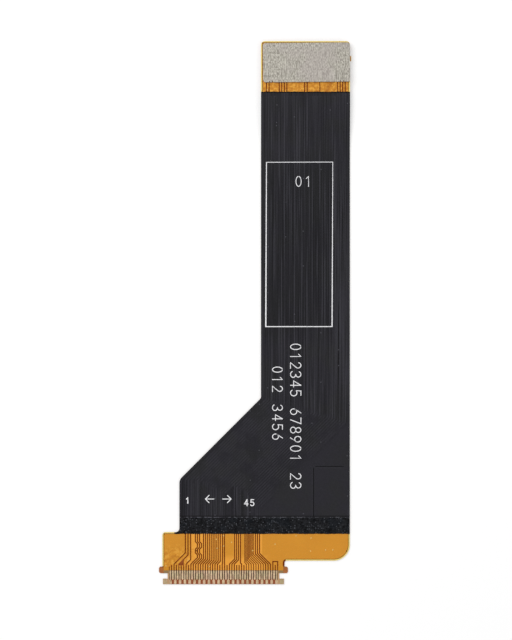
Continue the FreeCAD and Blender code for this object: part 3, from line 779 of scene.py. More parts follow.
@dataclass(frozen=True)
class BrushedSteel(Finish):
    """Stainless plate with short fine grain along the cable."""

    light: Colour = srgb(198, 194, 183)
    dark: Colour = srgb(134, 129, 120)
    rosy: Colour = srgb(176, 166, 164)
    brushed: Grain = Grain(9.0, 2.0, Along.CABLE, 12.0)
    broken: Grain = Grain(9.0, 3.0, Along.CABLE, 2.6)
    combed: Grain = Grain(0.5, 2.0)
    hue: Grain = Grain(0.35, 2.0)

    def fill(self, graph: Graph) -> None:
        """Grain two greys along the cable, with short pits, and cloud a rosy grey in.

        Args:
            graph: the material's nodes.
        """
        broken = graph.noise(self.broken)
        combed = graph.noise(self.combed).above(0.55, 0.1) * 0.4
        mix = broken * (0.8 - combed) + graph.noise(self.brushed) * (0.2 + combed)
        colour = graph.coats(self.dark, (mix.above(0.5, 0.11), self.light),
                             (graph.noise(self.hue).above(0.5, 0.1) * 0.35, self.rosy))
        graph.paint(base_color=colour, metallic=0.55, roughness=0.45 + 0.2 * broken,
                    normal=graph.bump(mix, depth=0.01))


@dataclass(frozen=True)
class StripMetal(Finish):
    """Tinned clip metal, rolled and a little cloudy."""

    light: Colour = srgb(205, 202, 196)
    dark: Colour = srgb(150, 146, 138)
    cloud: Grain = Grain(5.0, 4.0)
    scratches: Grain = Grain(10.0, 3.0, Along.ACROSS)

    def fill(self, graph: Graph) -> None:
        """Cloud two greys and scratch them along the strip.

        Args:
            graph: the material's nodes.
        """
        cloud = graph.noise(self.cloud)
        graph.paint(base_color=graph.blend(cloud, self.dark, self.light), metallic=0.8,
                    roughness=0.3 + 0.2 * cloud,
                    normal=graph.bump(graph.noise(self.scratches), depth=0.003))


@dataclass(frozen=True)
class Moulding(Finish):
    """Black filled plastic with a fine moulded texture."""

    body: Colour = srgb(26, 26, 28)
    pale: Colour = srgb(46, 46, 49)
    cloud: Grain = Grain(3.0, 5.0)
    texture: Grain = Grain(16.0, 2.0)

    def fill(self, graph: Graph) -> None:
        """Cloud the black faintly and give it a fine even grain.

        Args:
            graph: the material's nodes.
        """
        cloud = graph.noise(self.cloud)
        graph.paint(base_color=graph.blend(cloud * 0.6, self.body, self.pale),
                    roughness=0.48 + 0.15 * cloud, specular_ior_level=0.35,
                    normal=graph.bump(graph.noise(self.texture), depth=0.004))


BARE_FILM = BareFilm("bare_amber_film")
COPPER = CopperFoil("rolled_copper")
COVERLAY = Coverlay("clear_amber_coverlay")
REAR_FILM = SolidFilm("rear_amber_film")
STIFFENER_FILM = SolidFilm("thick_amber_film", srgb(172, 104, 50), srgb(146, 82, 36), 0.4, Grain(1.2, 5.0))
GLUE = SolidFilm("cured_glue", srgb(190, 150, 96), srgb(150, 112, 66), 0.55, Grain(4.0, 5.0))
PLATING = Plating("pale_gold_plating")
EAR_PLATING = Plating("worn_gold_plating", srgb(206, 184, 142), srgb(138, 116, 80))
SHIELD = ShieldFilm("black_shield_film")
REAR_SHIELD = ShieldFilm("rear_black_shield_film", front=0.0)
DULL_BLACK = DullBlack("dull_black_film")
INK = PrintedInk("white_printed_ink")
STEEL = BrushedSteel("brushed_stainless")
CLIP_METAL = StripMetal("tinned_strip")
MOULDING = Moulding("black_moulding")


def make_object(name: str, points: np.ndarray, faces: Sequence[Sequence[int]], finish: Finish,
                smooth: bool = False) -> bpy.types.Object:
    """Make a piece from points in millimetres and lists of corners, and ride it on the cable.

    Args:
        name: the piece's name.
        points: an array of shape (count, 3).
        faces: corners of each face, anticlockwise from outside.
        finish: what it is dressed in.
        smooth: shade it smooth.

    Returns:
        The object, at the origin.
    """
    mesh = bpy.data.meshes.new(name)
    mesh.from_pydata((points * MM).tolist(), [], [list(face) for face in faces])
    mesh.validate()
    mesh.update()
    mesh.polygons.foreach_set("use_smooth", [smooth] * len(mesh.polygons))
    mesh.materials.append(finish.material())
    made = bpy.data.objects.new(name, mesh)
    bpy.context.scene.collection.objects.link(made)
    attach(made, "root")
    LOG.info("%s: %d faces", name, len(mesh.polygons))
    return made


def wall_faces(rings: int, around: int, joined: bool = False) -> np.ndarray:
    """Join rings of points with quads.

    Point j of ring i has the index i * around + j. The rings run away from the eye that
    sees them anticlockwise.

    Args:
        rings: how many rings there are.
        around: how many points a ring has.
        joined: join the last ring to the first.

    Returns:
        The corners of each quad, an array of shape (count, 4).
    """
    ring, step = np.meshgrid(np.arange(rings if joined else rings - 1), np.arange(around), indexing="ij")
    onward, following = (ring + 1) % rings, (step + 1) % around
    corners = [onward * around + step, onward * around + following,
               ring * around + following, ring * around + step]
    return np.stack(corners, axis=-1).reshape(-1, 4)


def tube_faces(rings: int, around: int, first: int = 0) -> list[list[int]]:
    """List the faces of a closed tube of rings of points, with a flat cap at each end.

    Args:
        rings: how many rings there are.
        around: how many points a ring has.
        first: the index of the tube's first point.

    Returns:
        The corners of each face.
    """
    ring = np.arange(around) + first
    faces = (wall_faces(rings, around) + first).tolist()
    return faces + [ring.tolist(), (ring[::-1] + (rings - 1) * around).tolist()]


def dress(names: Sequence[str], finish: Finish) -> None:
    """Give CAD nodes a finish.

    Args:
        names: the nodes.
        finish: what they are dressed in.
    """
    for name in names:
        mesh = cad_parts[name].data
        mesh.materials.clear()
        mesh.materials.append(finish.material())
        LOG.info("%s: dressed in %s", name, finish.name)


def read_mesh(node: str) -> tuple[np.ndarray, np.ndarray]:
    """Read a CAD node's mesh, and merge the points that its triangles share.

    Args:
        node: the node's name.

    Returns:
        Its points, in millimetres, and the corners of its triangles.
    """
    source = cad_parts[node].data
    corners = np.zeros(len(source.vertices) * 3, np.float32)
    source.vertices.foreach_get("co", corners)
    source.calc_loop_triangles()
    triangles = np.zeros(len(source.loop_triangles) * 3, np.int32)
    source.loop_triangles.foreach_get("vertices", triangles)
    points = np.round(corners.reshape(-1, 3).astype(float) / MM, 5)
    merged, where = np.unique(points, axis=0, return_inverse=True)
    faces = where.ravel()[triangles.reshape(-1, 3)]
    whole = (faces != np.roll(faces, 1, axis=1)).all(axis=1)
    return merged, faces[whole]


def upright_walls(points: np.ndarray, faces: np.ndarray) -> tuple[np.ndarray, np.ndarray]:
    """Pick the triangles whose normal is level, or nearly.

    Args:
        points: the points of a mesh.
        faces: the corners of its triangles.

    Returns:
        The corners of those triangles, and their normals.
    """
    first, second, third = points[faces].transpose(1, 0, 2)
    across = np.cross(second - first, third - first)
    size = np.linalg.norm(across, axis=1)
    normals = across / np.maximum(size, TINY)[:, None]
    upright = (size > 0) & (np.abs(normals[:, 2]) < NEARLY_LEVEL)
    return faces[upright], normals[upright]


def turning(angle: float) -> np.ndarray:
    """Return the matrix that turns a flat shape anticlockwise by an angle."""
    return np.array([[math.cos(angle), -math.sin(angle)], [math.sin(angle), math.cos(angle)]])


@dataclass
class EtchedNode:
    """A CAD node whose upright walls are drawn in a little, as etching undercuts its mask."""

    node: str
    name: str
    finish: Finish
    slot: str
    undercut: float = 0.014
    most: float = 0.03
    least_square: float = 0.1

    def build(self) -> bpy.types.Object:
        """Copy the node and move each point of a wall inward.

        A point moves against the sum s of the n different wall normals that meet there, by
        the undercut times n s / |s|^2, which is where the drawn in walls meet. It moves by
        no more than the most, and |s|^2 counts as no less than the least square.

        Returns:
            The piece.
        """
        points, faces = read_mesh(self.node)
        walls, normals = upright_walls(points, faces)
        ways = np.repeat(np.round(normals[:, :2], 2), 3, axis=0)
        pairs = np.unique(np.column_stack([walls.ravel(), ways]), axis=0)
        owner = pairs[:, 0].astype(int)
        total = np.zeros((len(points), 2))
        np.add.at(total, owner, pairs[:, 1:])
        count = np.bincount(owner, minlength=len(points))
        size = np.maximum((total ** 2).sum(axis=1), self.least_square)
        moved = self.undercut * (count / size)[:, None] * total
        length = np.linalg.norm(moved, axis=1)
        points[:, :2] -= moved * np.minimum(1, self.most / np.maximum(length, TINY))[:, None]
        made = make_object(self.name, points, faces.tolist(), self.finish)
        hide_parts(self.node)
        return made


@dataclass
class Film:
    """The film's own shape: its left edge and how it steps up to the plug.

    The underside of the base film is the neutral line. It is level, then follows two equal
    arcs that meet on the line between their centres, then is level again.
    """

    slope_turn: float = math.radians(45)
    slope_low_corner: float = 1.0
    slope_high_fillet: float = 0.5
    bend_steps: int = 7
    step_end: float = 60.32
    step_length: float = 7.5
    base_thick: float = 0.025
    tail_floor: float = field(init=False)
    plug_floor: float = field(init=False)

    def __post_init__(self) -> None:
        """Read the two levels of the film from the CAD base film."""
        low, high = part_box("base_film")
        self.tail_floor = low.z / MM
        self.plug_floor = high.z / MM - self.base_thick

    @property
    def step_start(self) -> float:
        """Return where the film starts to climb."""
        return self.step_end - self.step_length

    def height(self, y: np.ndarray, lift: float) -> np.ndarray:
        """Work out how high a face of a ply lies.

        On the first arc, whose centre is above, the radius is less by the lift, and on the
        second, whose centre is below, it is more by the lift.

        Args:
            y: places along the cable.
            lift: how far the face lies above the underside of the base film.

        Returns:
            The height at each place.
        """
        rise = self.plug_floor - self.tail_floor
        radius = (self.step_length ** 2 + rise ** 2) / (4 * rise)
        middle = (self.step_start + self.step_end) / 2 - lift * self.step_length / (2 * radius)
        along = np.clip(y - self.step_start, 0, None)
        back = np.clip(self.step_end - y, 0, None)
        first = self.tail_floor + radius - np.sqrt(np.clip((radius - lift) ** 2 - along ** 2, 0, None))
        last = self.plug_floor - radius + np.sqrt(np.clip((radius + lift) ** 2 - back ** 2, 0, None))
        return np.where(y < middle, first, last)

    def left(self, y: np.ndarray) -> np.ndarray:
        """Work out where the left edge lies above the shoulder.

        It is a 45 degree slope between two straight sides, with an arc at each of its ends.

        Args:
            y: places along the cable.

        Returns:
            The edge's place across the cable at each.
        """
        slope_end = CABLE.slope_level + CABLE.band_left - CABLE.head_left
        arcs = []
        for level, side, radius, sign in (
            (CABLE.slope_level, CABLE.head_left, self.slope_low_corner, 1),
            (slope_end, CABLE.band_left, self.slope_high_fillet, -1),
        ):
            bend = np.linspace(0, self.slope_turn, self.bend_steps)[::sign]
            cut = radius * math.tan(self.slope_turn / 2)
            arcs.append([level + sign * (radius * np.sin(bend) - cut),
                         side + sign * radius * (1 - np.cos(bend))])
        levels, places = np.concatenate(arcs, axis=1)
        return np.interp(y, levels, places)


@dataclass
class ShieldRelief:
    """The front shielding film, with the traces below it showing through as relief.

    Traces start to slant on a line through the slant corners, and end on a line through the
    slant end, which falls to the right. The last trace climbs at 45 degrees, where y is more
    than x by last_trace. Below it, right of plane_left, the copper is one plane.
    """

    film: Film
    lift: float = 0.0855
    thick: float = 0.018
    columns: int = 380
    edge_rows: tuple[float, ...] = (0.0, 0.02, 0.05)
    edge_end: float = 0.09
    slope_band: Pair = (10.6, 24.4)
    slope_rows: int = 150
    plain_rows: int = 30
    step_rows: int = 34
    last_rows: int = 6
    groove_depth: float = 0.006
    groove_reach: float = 0.13
    edge_round: float = 0.03
    edge_drop: float = 0.0072
    slant_corners: tuple[Pair, ...] = ((-4.74, 13.0), (-3.5, 13.0), (-2.48, 12.8), (-0.4, 11.3),
                                       (1.4, 12.2), (2.66, 11.8), (3.97, 9.8), (4.5, 9.5))
    slant_end: Pair = (5.36, 23.11)
    slant_fall: float = 0.302
    plane_left: float = 4.5
    last_trace: float = 5.04
    fade: float = 1.4

    def levels(self) -> np.ndarray:
        """List the levels of the rows: close where traces slant, and on the step.

        Returns:
            Places along the cable.
        """
        start, end = CABLE.shield_start, CABLE.shield_end
        low, high = self.slope_band
        step_start, step_end = self.film.step_start, self.film.step_end
        return np.concatenate([
            start + np.array(self.edge_rows),
            np.linspace(start + self.edge_end, low, self.plain_rows, endpoint=False),
            np.linspace(low, high, self.slope_rows, endpoint=False),
            np.linspace(high, step_start, self.plain_rows, endpoint=False),
            np.linspace(step_start, step_end, self.step_rows, endpoint=False),
            np.linspace(step_end, end, self.last_rows),
        ])

    def copper_edges(self) -> np.ndarray:
        """Find the copper's edges in plan: of each upright triangle, its longest side there.

        Returns:
            An array of rows of x, y, x, y.
        """
        points, faces = read_mesh("copper_foil")
        walls = points[upright_walls(points, faces)[0]][:, :, :2]
        pairs = np.stack([walls[:, [0, 1]], walls[:, [1, 2]], walls[:, [2, 0]]], axis=1)
        lengths = np.linalg.norm(pairs[:, :, 0] - pairs[:, :, 1], axis=2)
        longest = pairs[np.arange(len(pairs)), lengths.argmax(axis=1)]
        return np.unique(np.round(longest.reshape(-1, 4), 4), axis=0)

    def nearness(self, x: np.ndarray, y: np.ndarray) -> np.ndarray:
        """Work out how near a copper edge each point of the film lies.

        The distance from a point to an edge is the distance to the nearest point of the
        segment, found by the clamped projection on it. The fall is a smooth step.

        Args:
            x: places across the cable, in rows.
            y: places along it, the same all along a row.

        Returns:
            1 over an edge, falling to 0 at the groove's reach.
        """
        edges = self.copper_edges()
        low = np.minimum(edges[:, 1], edges[:, 3]) - self.groove_reach
        high = np.maximum(edges[:, 1], edges[:, 3]) + self.groove_reach
        near = np.zeros_like(x)
        for row, level in enumerate(y[:, 0]):
            some = edges[(low < level) & (high > level)]
            if not len(some):
                continue
            first, last = some[:, None, :2], some[:, None, 2:]
            here = np.stack([x[row], y[row]], axis=-1)[None]
            along = last - first
            share = ((here - first) * along).sum(-1) / np.maximum((along ** 2).sum(-1), TINY)
            foot = first + np.clip(share, 0, 1)[..., None] * along
            distance = np.linalg.norm(here - foot, axis=-1).min(axis=0)
            fall = np.clip(1 - distance / self.groove_reach, 0, 1)
            near[row] = fall * fall * (3 - 2 * fall)
        return near

    def passed(self, distance: np.ndarray) -> np.ndarray:
        """Return a mask that rises from 0 to 1 as a distance passes 0."""
        return np.clip(distance / self.fade + 0.5, 0, 1)

    def flow(self, x: np.ndarray, y: np.ndarray) -> tuple[np.ndarray, np.ndarray]:
        """Find where traces slant, and where there are any.

        Args:
            x: places across the cable.
            y: places along it.

        Returns:
            Both as masks from 0 to 1.
        """
        right, top = self.slant_end
        over_low = self.passed(y - np.interp(x, *np.transpose(self.slant_corners)))
        under_high = self.passed(top - self.slant_fall * (x - right) - y)
        over_last = self.passed(y - x - self.last_trace)
        lined = np.where(x > self.plane_left, np.maximum(over_last, 1 - under_high), 1.0)
        return over_low * under_high, lined

    def build(self) -> bpy.types.Object:
        """Build the film as a closed tube of cross sections, each as wide as the outline.

        The top of a section lies at the film's height less the groove depth times the
        nearness of a copper edge, and rounds down at both sides. The bottom is flat. A
        section starts with the two lower corners and goes back over the top from the right.

        Returns:
            The piece, with what the finish needs as attributes.
        """
        levels = self.levels()
        left = self.film.left(levels)[:, None]
        x = left + np.linspace(1, 0, self.columns)[None] * (CABLE.right_edge - left)
        y = np.repeat(levels[:, None], self.columns, axis=1)
        near = self.nearness(x, y)
        side = np.minimum(x - left, CABLE.right_edge - x)
        end = np.minimum(y - CABLE.shield_start, CABLE.shield_end - y)
        rounding = np.clip(1 - np.minimum(side, end) / self.edge_round, 0, 1) ** 2
        top = self.film.height(y, self.lift + self.thick)
        top = top - self.groove_depth * near - self.edge_drop * rounding
        bottom = self.film.height(levels, self.lift)
        low = [np.stack([place, levels, bottom], axis=-1)[:, None]
               for place in (left[:, 0], np.full_like(levels, CABLE.right_edge))]
        rings = np.concatenate([*low, np.stack([x, y, top], axis=-1)], axis=1)
        made = make_object("front_shield", rings.reshape(-1, 3),
                           tube_faces(*rings.shape[:2]), SHIELD, smooth=True)
        slope, lined = self.flow(x, y)
        for name, numbers in (("relief", near), ("slope", slope), ("lined", lined)):
            stored = made.data.attributes.new(name, "FLOAT", "POINT")
            padded = np.pad(numbers, ((0, 0), (len(low), 0)))
            stored.data.foreach_set("value", padded.astype(np.float32).ravel())
        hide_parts("front_shield_film")
        return made


class Toward(Enum):
    """The end of the cable that a lip faces."""

    TAIL = -1
    PLUG = 1


@dataclass
class FilmLip:
    """A ragged edge of the dull black film, pressed thin where it was cut.

    Each ripple of its edge has its turn in a millimetre, its share and where it starts.
    """

    name: str
    left: float
    level: float
    top: float
    toward: Toward
    right: float = 15.71
    overhang: float = 0.02
    width: float = 0.22
    thick: float = 0.012
    wander: float = 0.014
    ripples: tuple[Triple, ...] = ((2.3, 1.0, 0.0), (7.1, 0.7, 1.0), (17.3, 0.5, 0.0))
    still_end: float = 0.1
    stations: int = 300
    around: int = 12

    def build(self) -> bpy.types.Object:
        """Carry a flat oval section along the edge, which wanders by a sum of sines.

        Returns:
            The piece.
        """
        x = np.linspace(self.left, self.right, self.stations)
        inset = np.minimum(np.minimum(x - self.left, self.right - x) / self.still_end, 1)
        waves = sum(share * np.sin(x * turn + start) for turn, share, start in self.ripples)
        angle = np.linspace(2 * math.pi, 0, self.around, endpoint=False)
        edge = self.level + self.toward.value * (self.overhang - self.width / 2)
        y = (edge + self.wander * waves * inset)[:, None] + self.width / 2 * np.cos(angle)
        z = self.top - self.thick / 2 + self.thick / 2 * np.sin(angle)
        rings = np.stack(np.broadcast_arrays(x[:, None], y, z), axis=-1)
        made = make_object(self.name, rings.reshape(-1, 3),
                           tube_faces(self.stations, self.around), DULL_BLACK, smooth=True)
        return made


@dataclass
class ClearCoverlay:
    """The front coverlay, a hair clear of the copper so that both faces render cleanly."""

    film: Film
    lift: float = 0.043
    thick: float = 0.0275
    clearance: float = 0.003

    def build(self) -> bpy.types.Object:
        """Copy the CAD film, and raise its underside by the clearance.

        Returns:
            The piece.
        """
        points, faces = read_mesh("front_coverlay")
        middle = self.film.height(points[:, 1], self.lift + self.thick / 2)
        points[:, 2] += np.where(points[:, 2] < middle, self.clearance, 0)
        made = make_object("amber_coverlay", points, faces.tolist(), COVERLAY)
        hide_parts("front_coverlay")
        return made


@dataclass
class SteelPlate:
    """The stainless plate over the plug, with its cut edges eased."""

    half_length: float = 5.4
    half_width: float = 2.43
    corner: float = 0.3
    ease: float = 0.035
    raised: float = 0.03
    notches: tuple[float, ...] = (-4.6, -4.22, 4.22, 4.6)
    notch_half: float = 0.045
    notch_depth: float = 0.16
    turn: float = math.radians(0.5)
    corner_steps: int = 7
    ease_steps: int = 5

    def outline(self, inset: float, level: float, centre: np.ndarray) -> np.ndarray:
        """Trace a turned rounded rectangle.

        Its near side has a narrow notch on each side of the two places where the blank was
        held in its strip.

        Args:
            inset: how far it is drawn in.
            level: its height.
            centre: its middle.

        Returns:
            Its points.
        """
        radius = self.corner - inset
        bend = np.linspace(0, math.pi / 2, self.corner_steps)
        parts = []
        for quarter, (sx, sy) in enumerate(((1, 1), (-1, 1), (-1, -1), (1, -1))):
            angle = bend + quarter * math.pi / 2
            cx = sx * (self.half_length - inset - radius)
            cy = sy * (self.half_width - inset - radius)
            parts.append(np.stack([cx + radius * np.cos(angle), cy + radius * np.sin(angle)], -1))
        near = inset - self.half_width
        deep = near + self.notch_depth
        half = self.notch_half + inset
        mouth = np.array([(-half, near), (-half, deep), (half, deep), (half, near)])
        cuts = [mouth + np.array([place, 0.0]) for place in self.notches]
        loop = np.concatenate(parts[:3] + cuts + parts[3:])[::-1]
        flat = loop @ turning(self.turn).T + centre
        return np.column_stack([flat, np.full(len(flat), level)])

    def build(self) -> bpy.types.Object:
        """Stack rounded rectangles, drawn in by a quarter circle at the top and bottom.

        Returns:
            The piece.
        """
        low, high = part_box("steel_stiffener")
        centre = np.array([(low.x + high.x) / 2, (low.y + high.y) / 2]) / MM
        centre[1] += self.raised
        quarter = np.linspace(0, math.pi / 2, self.ease_steps)
        inset = self.ease * (1 - np.sin(quarter))
        drop = self.ease * (1 - np.cos(quarter))
        insets = np.concatenate([inset, inset[::-1]])
        heights = np.concatenate([low.z / MM + drop, high.z / MM - drop[::-1]])
        rings = np.stack([self.outline(draw, level, centre) for draw, level in zip(insets, heights)])
        made = make_object("steel_plate", rings.reshape(-1, 3), tube_faces(*rings.shape[:2]), STEEL)
        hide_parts("steel_stiffener")
        return made


class Glyphs:
    """Plain digits as pen strokes on a cell that is 0.6 wide and 1 high."""

    @staticmethod
    def arc(cx: float, cy: float, rx: float, ry: float, start: float, end: float,
            steps: int = 14) -> np.ndarray:
        """Return points of an ellipse from one angle to another, in degrees."""
        angle = np.radians(np.linspace(start, end, steps))
        return np.column_stack([cx + rx * np.cos(angle), cy + ry * np.sin(angle)])

    @classmethod
    def strokes(cls, mark: str) -> list[np.ndarray]:
        """List the pen strokes of a mark.

        Args:
            mark: a digit, or one of the two arrow ends.

        Returns:
            The points of each stroke, and none for a space.
        """
        line = np.array
        table = {
            "0": [cls.arc(0.3, 0.5, 0.26, 0.5, 90, 450, 26)],
            "1": [line([(0.12, 0.78), (0.34, 1.0), (0.34, 0.0)])],
            "2": [np.vstack([cls.arc(0.3, 0.72, 0.26, 0.28, 165, -35), [(0.04, 0.0)], [(0.58, 0.0)]])],
            "3": [cls.arc(0.28, 0.75, 0.26, 0.25, 160, -90), cls.arc(0.28, 0.25, 0.29, 0.25, 90, -160)],
            "4": [line([(0.44, 0.0), (0.44, 1.0)]), line([(0.44, 1.0), (0.02, 0.3), (0.6, 0.3)])],
            "5": [np.vstack([[(0.52, 1.0)], [(0.1, 1.0)], [(0.07, 0.56)],
                             cls.arc(0.28, 0.31, 0.29, 0.31, 115, -150)])],
            "6": [np.vstack([[(0.44, 1.0)], cls.arc(0.31, 0.3, 0.27, 0.3, 155, 515, 24)])],
            "7": [line([(0.02, 1.0), (0.58, 1.0), (0.2, 0.0)])],
            "8": [cls.arc(0.3, 0.75, 0.23, 0.25, -90, 270, 20),
                  cls.arc(0.3, 0.25, 0.28, 0.25, 90, 450, 22)],
            "9": [np.vstack([cls.arc(0.29, 0.7, 0.27, 0.3, -25, 335, 24), [(0.16, 0.0)]])],
            "<": [line([(0.3, 0.8), (0.0, 0.5), (0.3, 0.2)]), line([(0.0, 0.5), (0.7, 0.5)])],
            ">": [line([(0.4, 0.8), (0.7, 0.5), (0.4, 0.2)]), line([(0.0, 0.5), (0.7, 0.5)])],
        }
        return table.get(mark, [])


class Reading(Enum):
    """The way that a line of marks reads on the cable."""

    RIGHT = 0.0
    DOWN = -90.0


@dataclass(frozen=True)
class InkBead:
    """A bead of ink on the shielding film, with eased upper corners.

    Its base is the height of the film's face. The points of its section lie across it, in
    half widths, and up it, as shares of its thickness.
    """

    thick: float = 0.01
    base: float = 0.2285
    section: tuple[Pair, ...] = ((-1.0, 0.0), (-1.0, 0.6), (-0.82, 1.0),
                                 (0.82, 1.0), (1.0, 0.6), (1.0, 0.0))

    def rings(self, points: np.ndarray, sides: np.ndarray, extra: float = 0.0) -> np.ndarray:
        """Set the section at each station of a stroke.

        Args:
            points: the stations, an array of shape (count, 2).
            sides: half the bead's width at each, as a vector towards the section's +1.
            extra: how much higher than the rest this bead stands.

        Returns:
            An array of shape (count, points of the section, 3).
        """
        across, up = np.transpose(self.section)
        flat = points[:, None] + across[:, None] * sides[:, None]
        level = np.broadcast_to(self.base + (self.thick + extra) * up, flat.shape[:2])
        return np.concatenate([flat, level[..., None]], axis=-1)


@dataclass
class PrintedLine:
    """One line of plain marks printed on the shielding film.

    The place is the near corner of its first cell, at the foot of the marks.
    """

    name: str
    marks: str
    place: Pair
    height: float
    pitch: float
    stroke: float
    reading: Reading = Reading.RIGHT
    bead: InkBead = InkBead()
    layer: float = 0.0012
    end_steps: int = 5
    end_half: float = 0.004
    sharpest: float = 0.6

    def stations(self, path: np.ndarray) -> tuple[np.ndarray, np.ndarray]:
        """Spread stations along a stroke, with round ends.

        Past each end come more stations, whose half width follows the circle of the pen.
        The sideways direction halves each bend, and the half width grows by one over the
        cosine of half the bend.

        Args:
            path: the stroke's points.

        Returns:
            The stations, and half the pen's width at each, as a vector to its left.
        """
        half = self.stroke / 2
        away = path[1:] - path[:-1]
        away /= np.linalg.norm(away, axis=1)[:, None]
        into = np.vstack([away[:1], away])
        mean = into + np.vstack([away, away[-1:]])
        mean /= np.linalg.norm(mean, axis=1)[:, None]
        stretch = np.clip((mean * into).sum(axis=1), self.sharpest, 1)
        reach = half * np.sin(np.linspace(math.pi / 2, 0, self.end_steps, endpoint=False))
        width = np.sqrt(np.clip(half ** 2 - reach ** 2, 0, None)) + self.end_half
        start = path[0] - away[0] * reach[:, None]
        finish = path[-1] + away[-1] * reach[::-1, None]
        heading = np.vstack([np.repeat(mean[:1], len(reach), axis=0), mean,
                             np.repeat(mean[-1:], len(reach), axis=0)])
        widths = np.concatenate([width, half / stretch, width[::-1]])
        sides = widths[:, None] * np.column_stack([-heading[:, 1], heading[:, 0]])
        return np.vstack([start, path, finish]), sides

    def build(self) -> bpy.types.Object:
        """Set each mark in its cell, turn the line the way it reads, and make one mesh.

        A later stroke of a mark stands one layer higher, where it crosses the first.

        Returns:
            The piece.
        """
        spin = turning(math.radians(self.reading.value))
        points: list[np.ndarray] = []
        faces: list[list[int]] = []
        count = 0
        for cell, mark in enumerate(self.marks):
            for order, path in enumerate(Glyphs.strokes(mark)):
                placed = path * self.height + np.array([cell * self.pitch, 0.0])
                stations = self.stations(placed @ spin.T + np.array(self.place))
                rings = self.bead.rings(*stations, order * self.layer)
                faces += tube_faces(*rings.shape[:2], count)
                points.append(rings.reshape(-1, 3))
                count += len(points[-1])
        made = make_object(self.name, np.concatenate(points), faces, INK)
        return made


@dataclass
class Legend:
    """All that is printed on the cable apart from its frame: plain numbers and an arrow."""

    fine: float = 0.09
    pen: float = 0.108
    firm: float = 0.12
    bold: float = 0.15

    def lines(self) -> list[PrintedLine]:
        """Lay out the pin numbers, the arrow between them, a place number and two counts.

        Returns:
            The lines.
        """
        return [
            PrintedLine("pin_number_first", "1", (-4.66, 10.1), 0.66, 0.6, self.bold),
            PrintedLine("pin_number_last", "45", (2.6, 9.77), 0.76, 0.76, self.firm),
            PrintedLine("pin_range_arrow", "<>", (-2.24, 9.86), 1.5, 2.14, self.pen),
            PrintedLine("place_number", "01", (8.97, 49.5), 1.25, 1.195, self.fine),
            PrintedLine("long_count", "012345 678901 23", (8.34, 29.93), 1.3, 1.15, self.pen,
                        Reading.DOWN),
            PrintedLine("short_count", "012 3456", (6.1, 27.08), 1.24, 1.19, self.pen, Reading.DOWN),
        ]

    def build(self) -> None:
        """Build every line."""
        for line in self.lines():
            line.build()


@dataclass
class PlacementFrame:
    """The printed rectangle, a little askew, whose pen ran thin towards the far end.

    Each corner is the place of the pen's middle, then how wide the pen was on the side that
    runs along the cable and on the side that runs across it.
    """

    corners: tuple[tuple[float, float, float, float], ...] = (
        (5.268, 32.056, 0.16, 0.118),
        (13.512, 32.058, 0.136, 0.112),
        (13.6, 52.53, 0.075, 0.078),
        (5.351, 52.5, 0.1, 0.08),
    )
    bead: InkBead = InkBead()

    def build(self) -> bpy.types.Object:
        """Carry a bead of ink round the rectangle and back to its start.

        At each corner the bead's section lies along the mitre: half the pen's widths in
        from the corner at one side of the bead, and as far out at the other.

        Returns:
            The piece.
        """
        corners = np.array(self.corners)
        middle = corners[:, :2].mean(axis=0)
        inward = np.sign(middle - corners[:, :2]) * corners[:, 2:] / 2
        rings = self.bead.rings(corners[:, :2], inward)
        faces = wall_faces(*rings.shape[:2], joined=True)
        made = make_object("placement_frame_ink", rings.reshape(-1, 3), faces.tolist(), INK)
        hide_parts("placement_frame")
        return made


@dataclass
class CableDressing:
    """The CAD nodes that show as they are, each with its finish."""

    finishes: tuple[tuple[Finish, tuple[str, ...]], ...] = (
        (BARE_FILM, ("base_film",)),
        (PLATING, ("solder_lands", "plug_contacts_far_row", "plug_contacts_near_row")),
        (EAR_PLATING, ("ear_lands",)),
        (DULL_BLACK, ("black_cover_film",)),
        (REAR_SHIELD, ("rear_shield_film",)),
        (REAR_FILM, ("rear_coverlay",)),
        (STIFFENER_FILM, ("tail_stiffener",)),
        (GLUE, ("tail_stiffener_adhesive", "steel_stiffener_adhesive")),
        (MOULDING, ("plug_housing",)),
        (CLIP_METAL, ("plug_hold_down_left", "plug_hold_down_right")),
    )

    def build(self) -> None:
        """Dress them all."""
        for finish, names in self.finishes:
            dress(names, finish)


@dataclass(frozen=True)
class Lamp:
    """A square area lamp that faces the middle of the cable."""

    name: str
    place: Triple
    watts: float
    size: float = 220.0

    def build(self, aim: Pair) -> None:
        """Hang the lamp.

        Args:
            aim: what it faces, at the height of the floor.
        """
        light = bpy.data.lights.new(self.name, "AREA")
        light.size = self.size * MM
        light.energy = self.watts
        made = bpy.data.objects.new(self.name, light)
        made.location = [part * MM for part in self.place]
        back = np.array(self.place) - np.array([*aim, 0.0])
        made.rotation_euler = (math.atan2(math.hypot(back[0], back[1]), back[2]), 0.0,
                               math.atan2(back[0], -back[1]))
        bpy.context.scene.collection.objects.link(made)


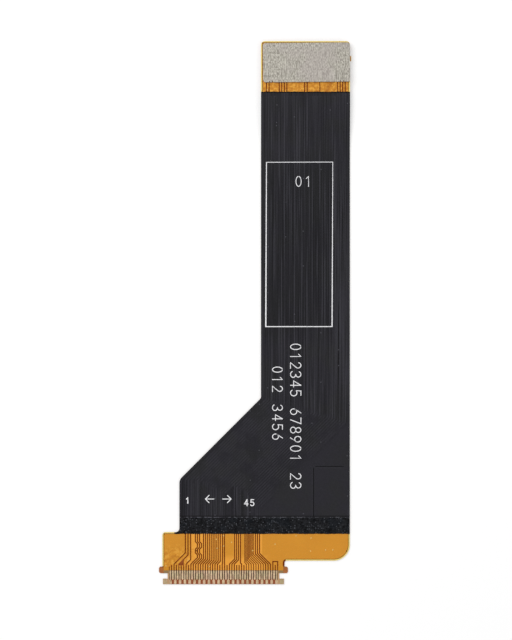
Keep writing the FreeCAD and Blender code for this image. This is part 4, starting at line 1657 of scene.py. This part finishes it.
@dataclass
class Studio:
    """Floor, soft light and a camera that looks straight down, as the photograph does."""

    aim: Pair = (4.05, 32.88)
    frame_height: float = 79.7
    lens: float = 100.0
    sensor: float = 36.0
    clip: Pair = (5.0, 10000.0)
    lamps: tuple[Lamp, ...] = (
        Lamp("key_light", (-120.0, 160.0, 260.0), 0.55),
        Lamp("fill_light", (200.0, -60.0, 240.0), 0.13),
    )
    sky: float = 0.5
    floor_size: float = 900.0
    floor_level: float = -0.002
    floor_colour: Colour = (0.65, 0.65, 0.65)
    floor_glow: float = 0.4

    def build(self) -> None:
        """Build the floor, the lamps and the camera."""
        self.floor()
        self.world()
        for lamp in self.lamps:
            lamp.build(self.aim)
        self.camera()
        bpy.context.scene.view_settings.view_transform = "Standard"

    def floor(self) -> None:
        """Lay a pale floor that shows white to the camera and keeps the shadow."""
        corners = np.array([(-1, -1), (1, -1), (1, 1), (-1, 1)]) * self.floor_size / 2 + self.aim
        points = np.column_stack([corners, np.full(len(corners), self.floor_level)]) * MM
        mesh = bpy.data.meshes.new("studio_floor")
        mesh.from_pydata(points.tolist(), [], [(0, 1, 2, 3)])
        graph = Graph("pale_floor")
        rays = graph.node("ShaderNodeLightPath").outputs
        seen = Value(graph, rays["Is Camera Ray"]) | Value(graph, rays["Is Glossy Ray"])
        seen = seen | Value(graph, rays["Is Transmission Ray"])
        glow = graph.blend(seen * self.floor_glow, (0.0, 0.0, 0.0), (1.0, 1.0, 1.0))
        graph.paint(base_color=self.floor_colour, roughness=0.9, specular_ior_level=0.0,
                    emission_color=glow, emission_strength=1.0)
        mesh.materials.append(graph.material)
        made = bpy.data.objects.new("studio_floor", mesh)
        bpy.context.scene.collection.objects.link(made)

    def world(self) -> None:
        """Light everything evenly from a white world."""
        world = bpy.data.worlds.new("studio_world")
        world.use_nodes = True
        background = world.node_tree.nodes["Background"]
        background.inputs["Color"].default_value = (1.0, 1.0, 1.0, 1.0)
        background.inputs["Strength"].default_value = self.sky
        bpy.context.scene.world = world

    def camera(self) -> None:
        """Hang the camera over the cable, where its frame is as high as the photograph's."""
        data = bpy.data.cameras.new("camera")
        data.lens = self.lens
        data.sensor_width = self.sensor
        data.clip_start, data.clip_end = (distance * MM for distance in self.clip)
        made = bpy.data.objects.new("camera", data)
        height = self.frame_height * self.lens / self.sensor
        made.location = [part * MM for part in (*self.aim, height)]
        bpy.context.scene.collection.objects.link(made)
        bpy.context.scene.camera = made


def main() -> None:
    """Build the studio and every piece of the cable."""
    logging.basicConfig(level=logging.INFO, format="%(name)s: %(message)s")
    Studio().build()
    film = Film()
    CableDressing().build()
    EtchedNode("copper_foil", "etched_copper", COPPER, "copper", undercut=0.018).build()
    EtchedNode("tip_row_contacts", "etched_tip_row", PLATING, "contact_plating").build()
    EtchedNode("rear_row_contacts", "etched_rear_row", PLATING, "contact_plating").build()
    ClearCoverlay(film).build()
    ShieldRelief(film).build()
    FilmLip("near_film_lip", left=-6.09, level=6.29, top=0.213, toward=Toward.TAIL).build()
    FilmLip("far_film_lip", left=4.68, level=61.2, top=0.756, toward=Toward.PLUG).build()
    SteelPlate().build()
    Legend().build()
    PlacementFrame().build()


if __name__ == "__main__":
    main()
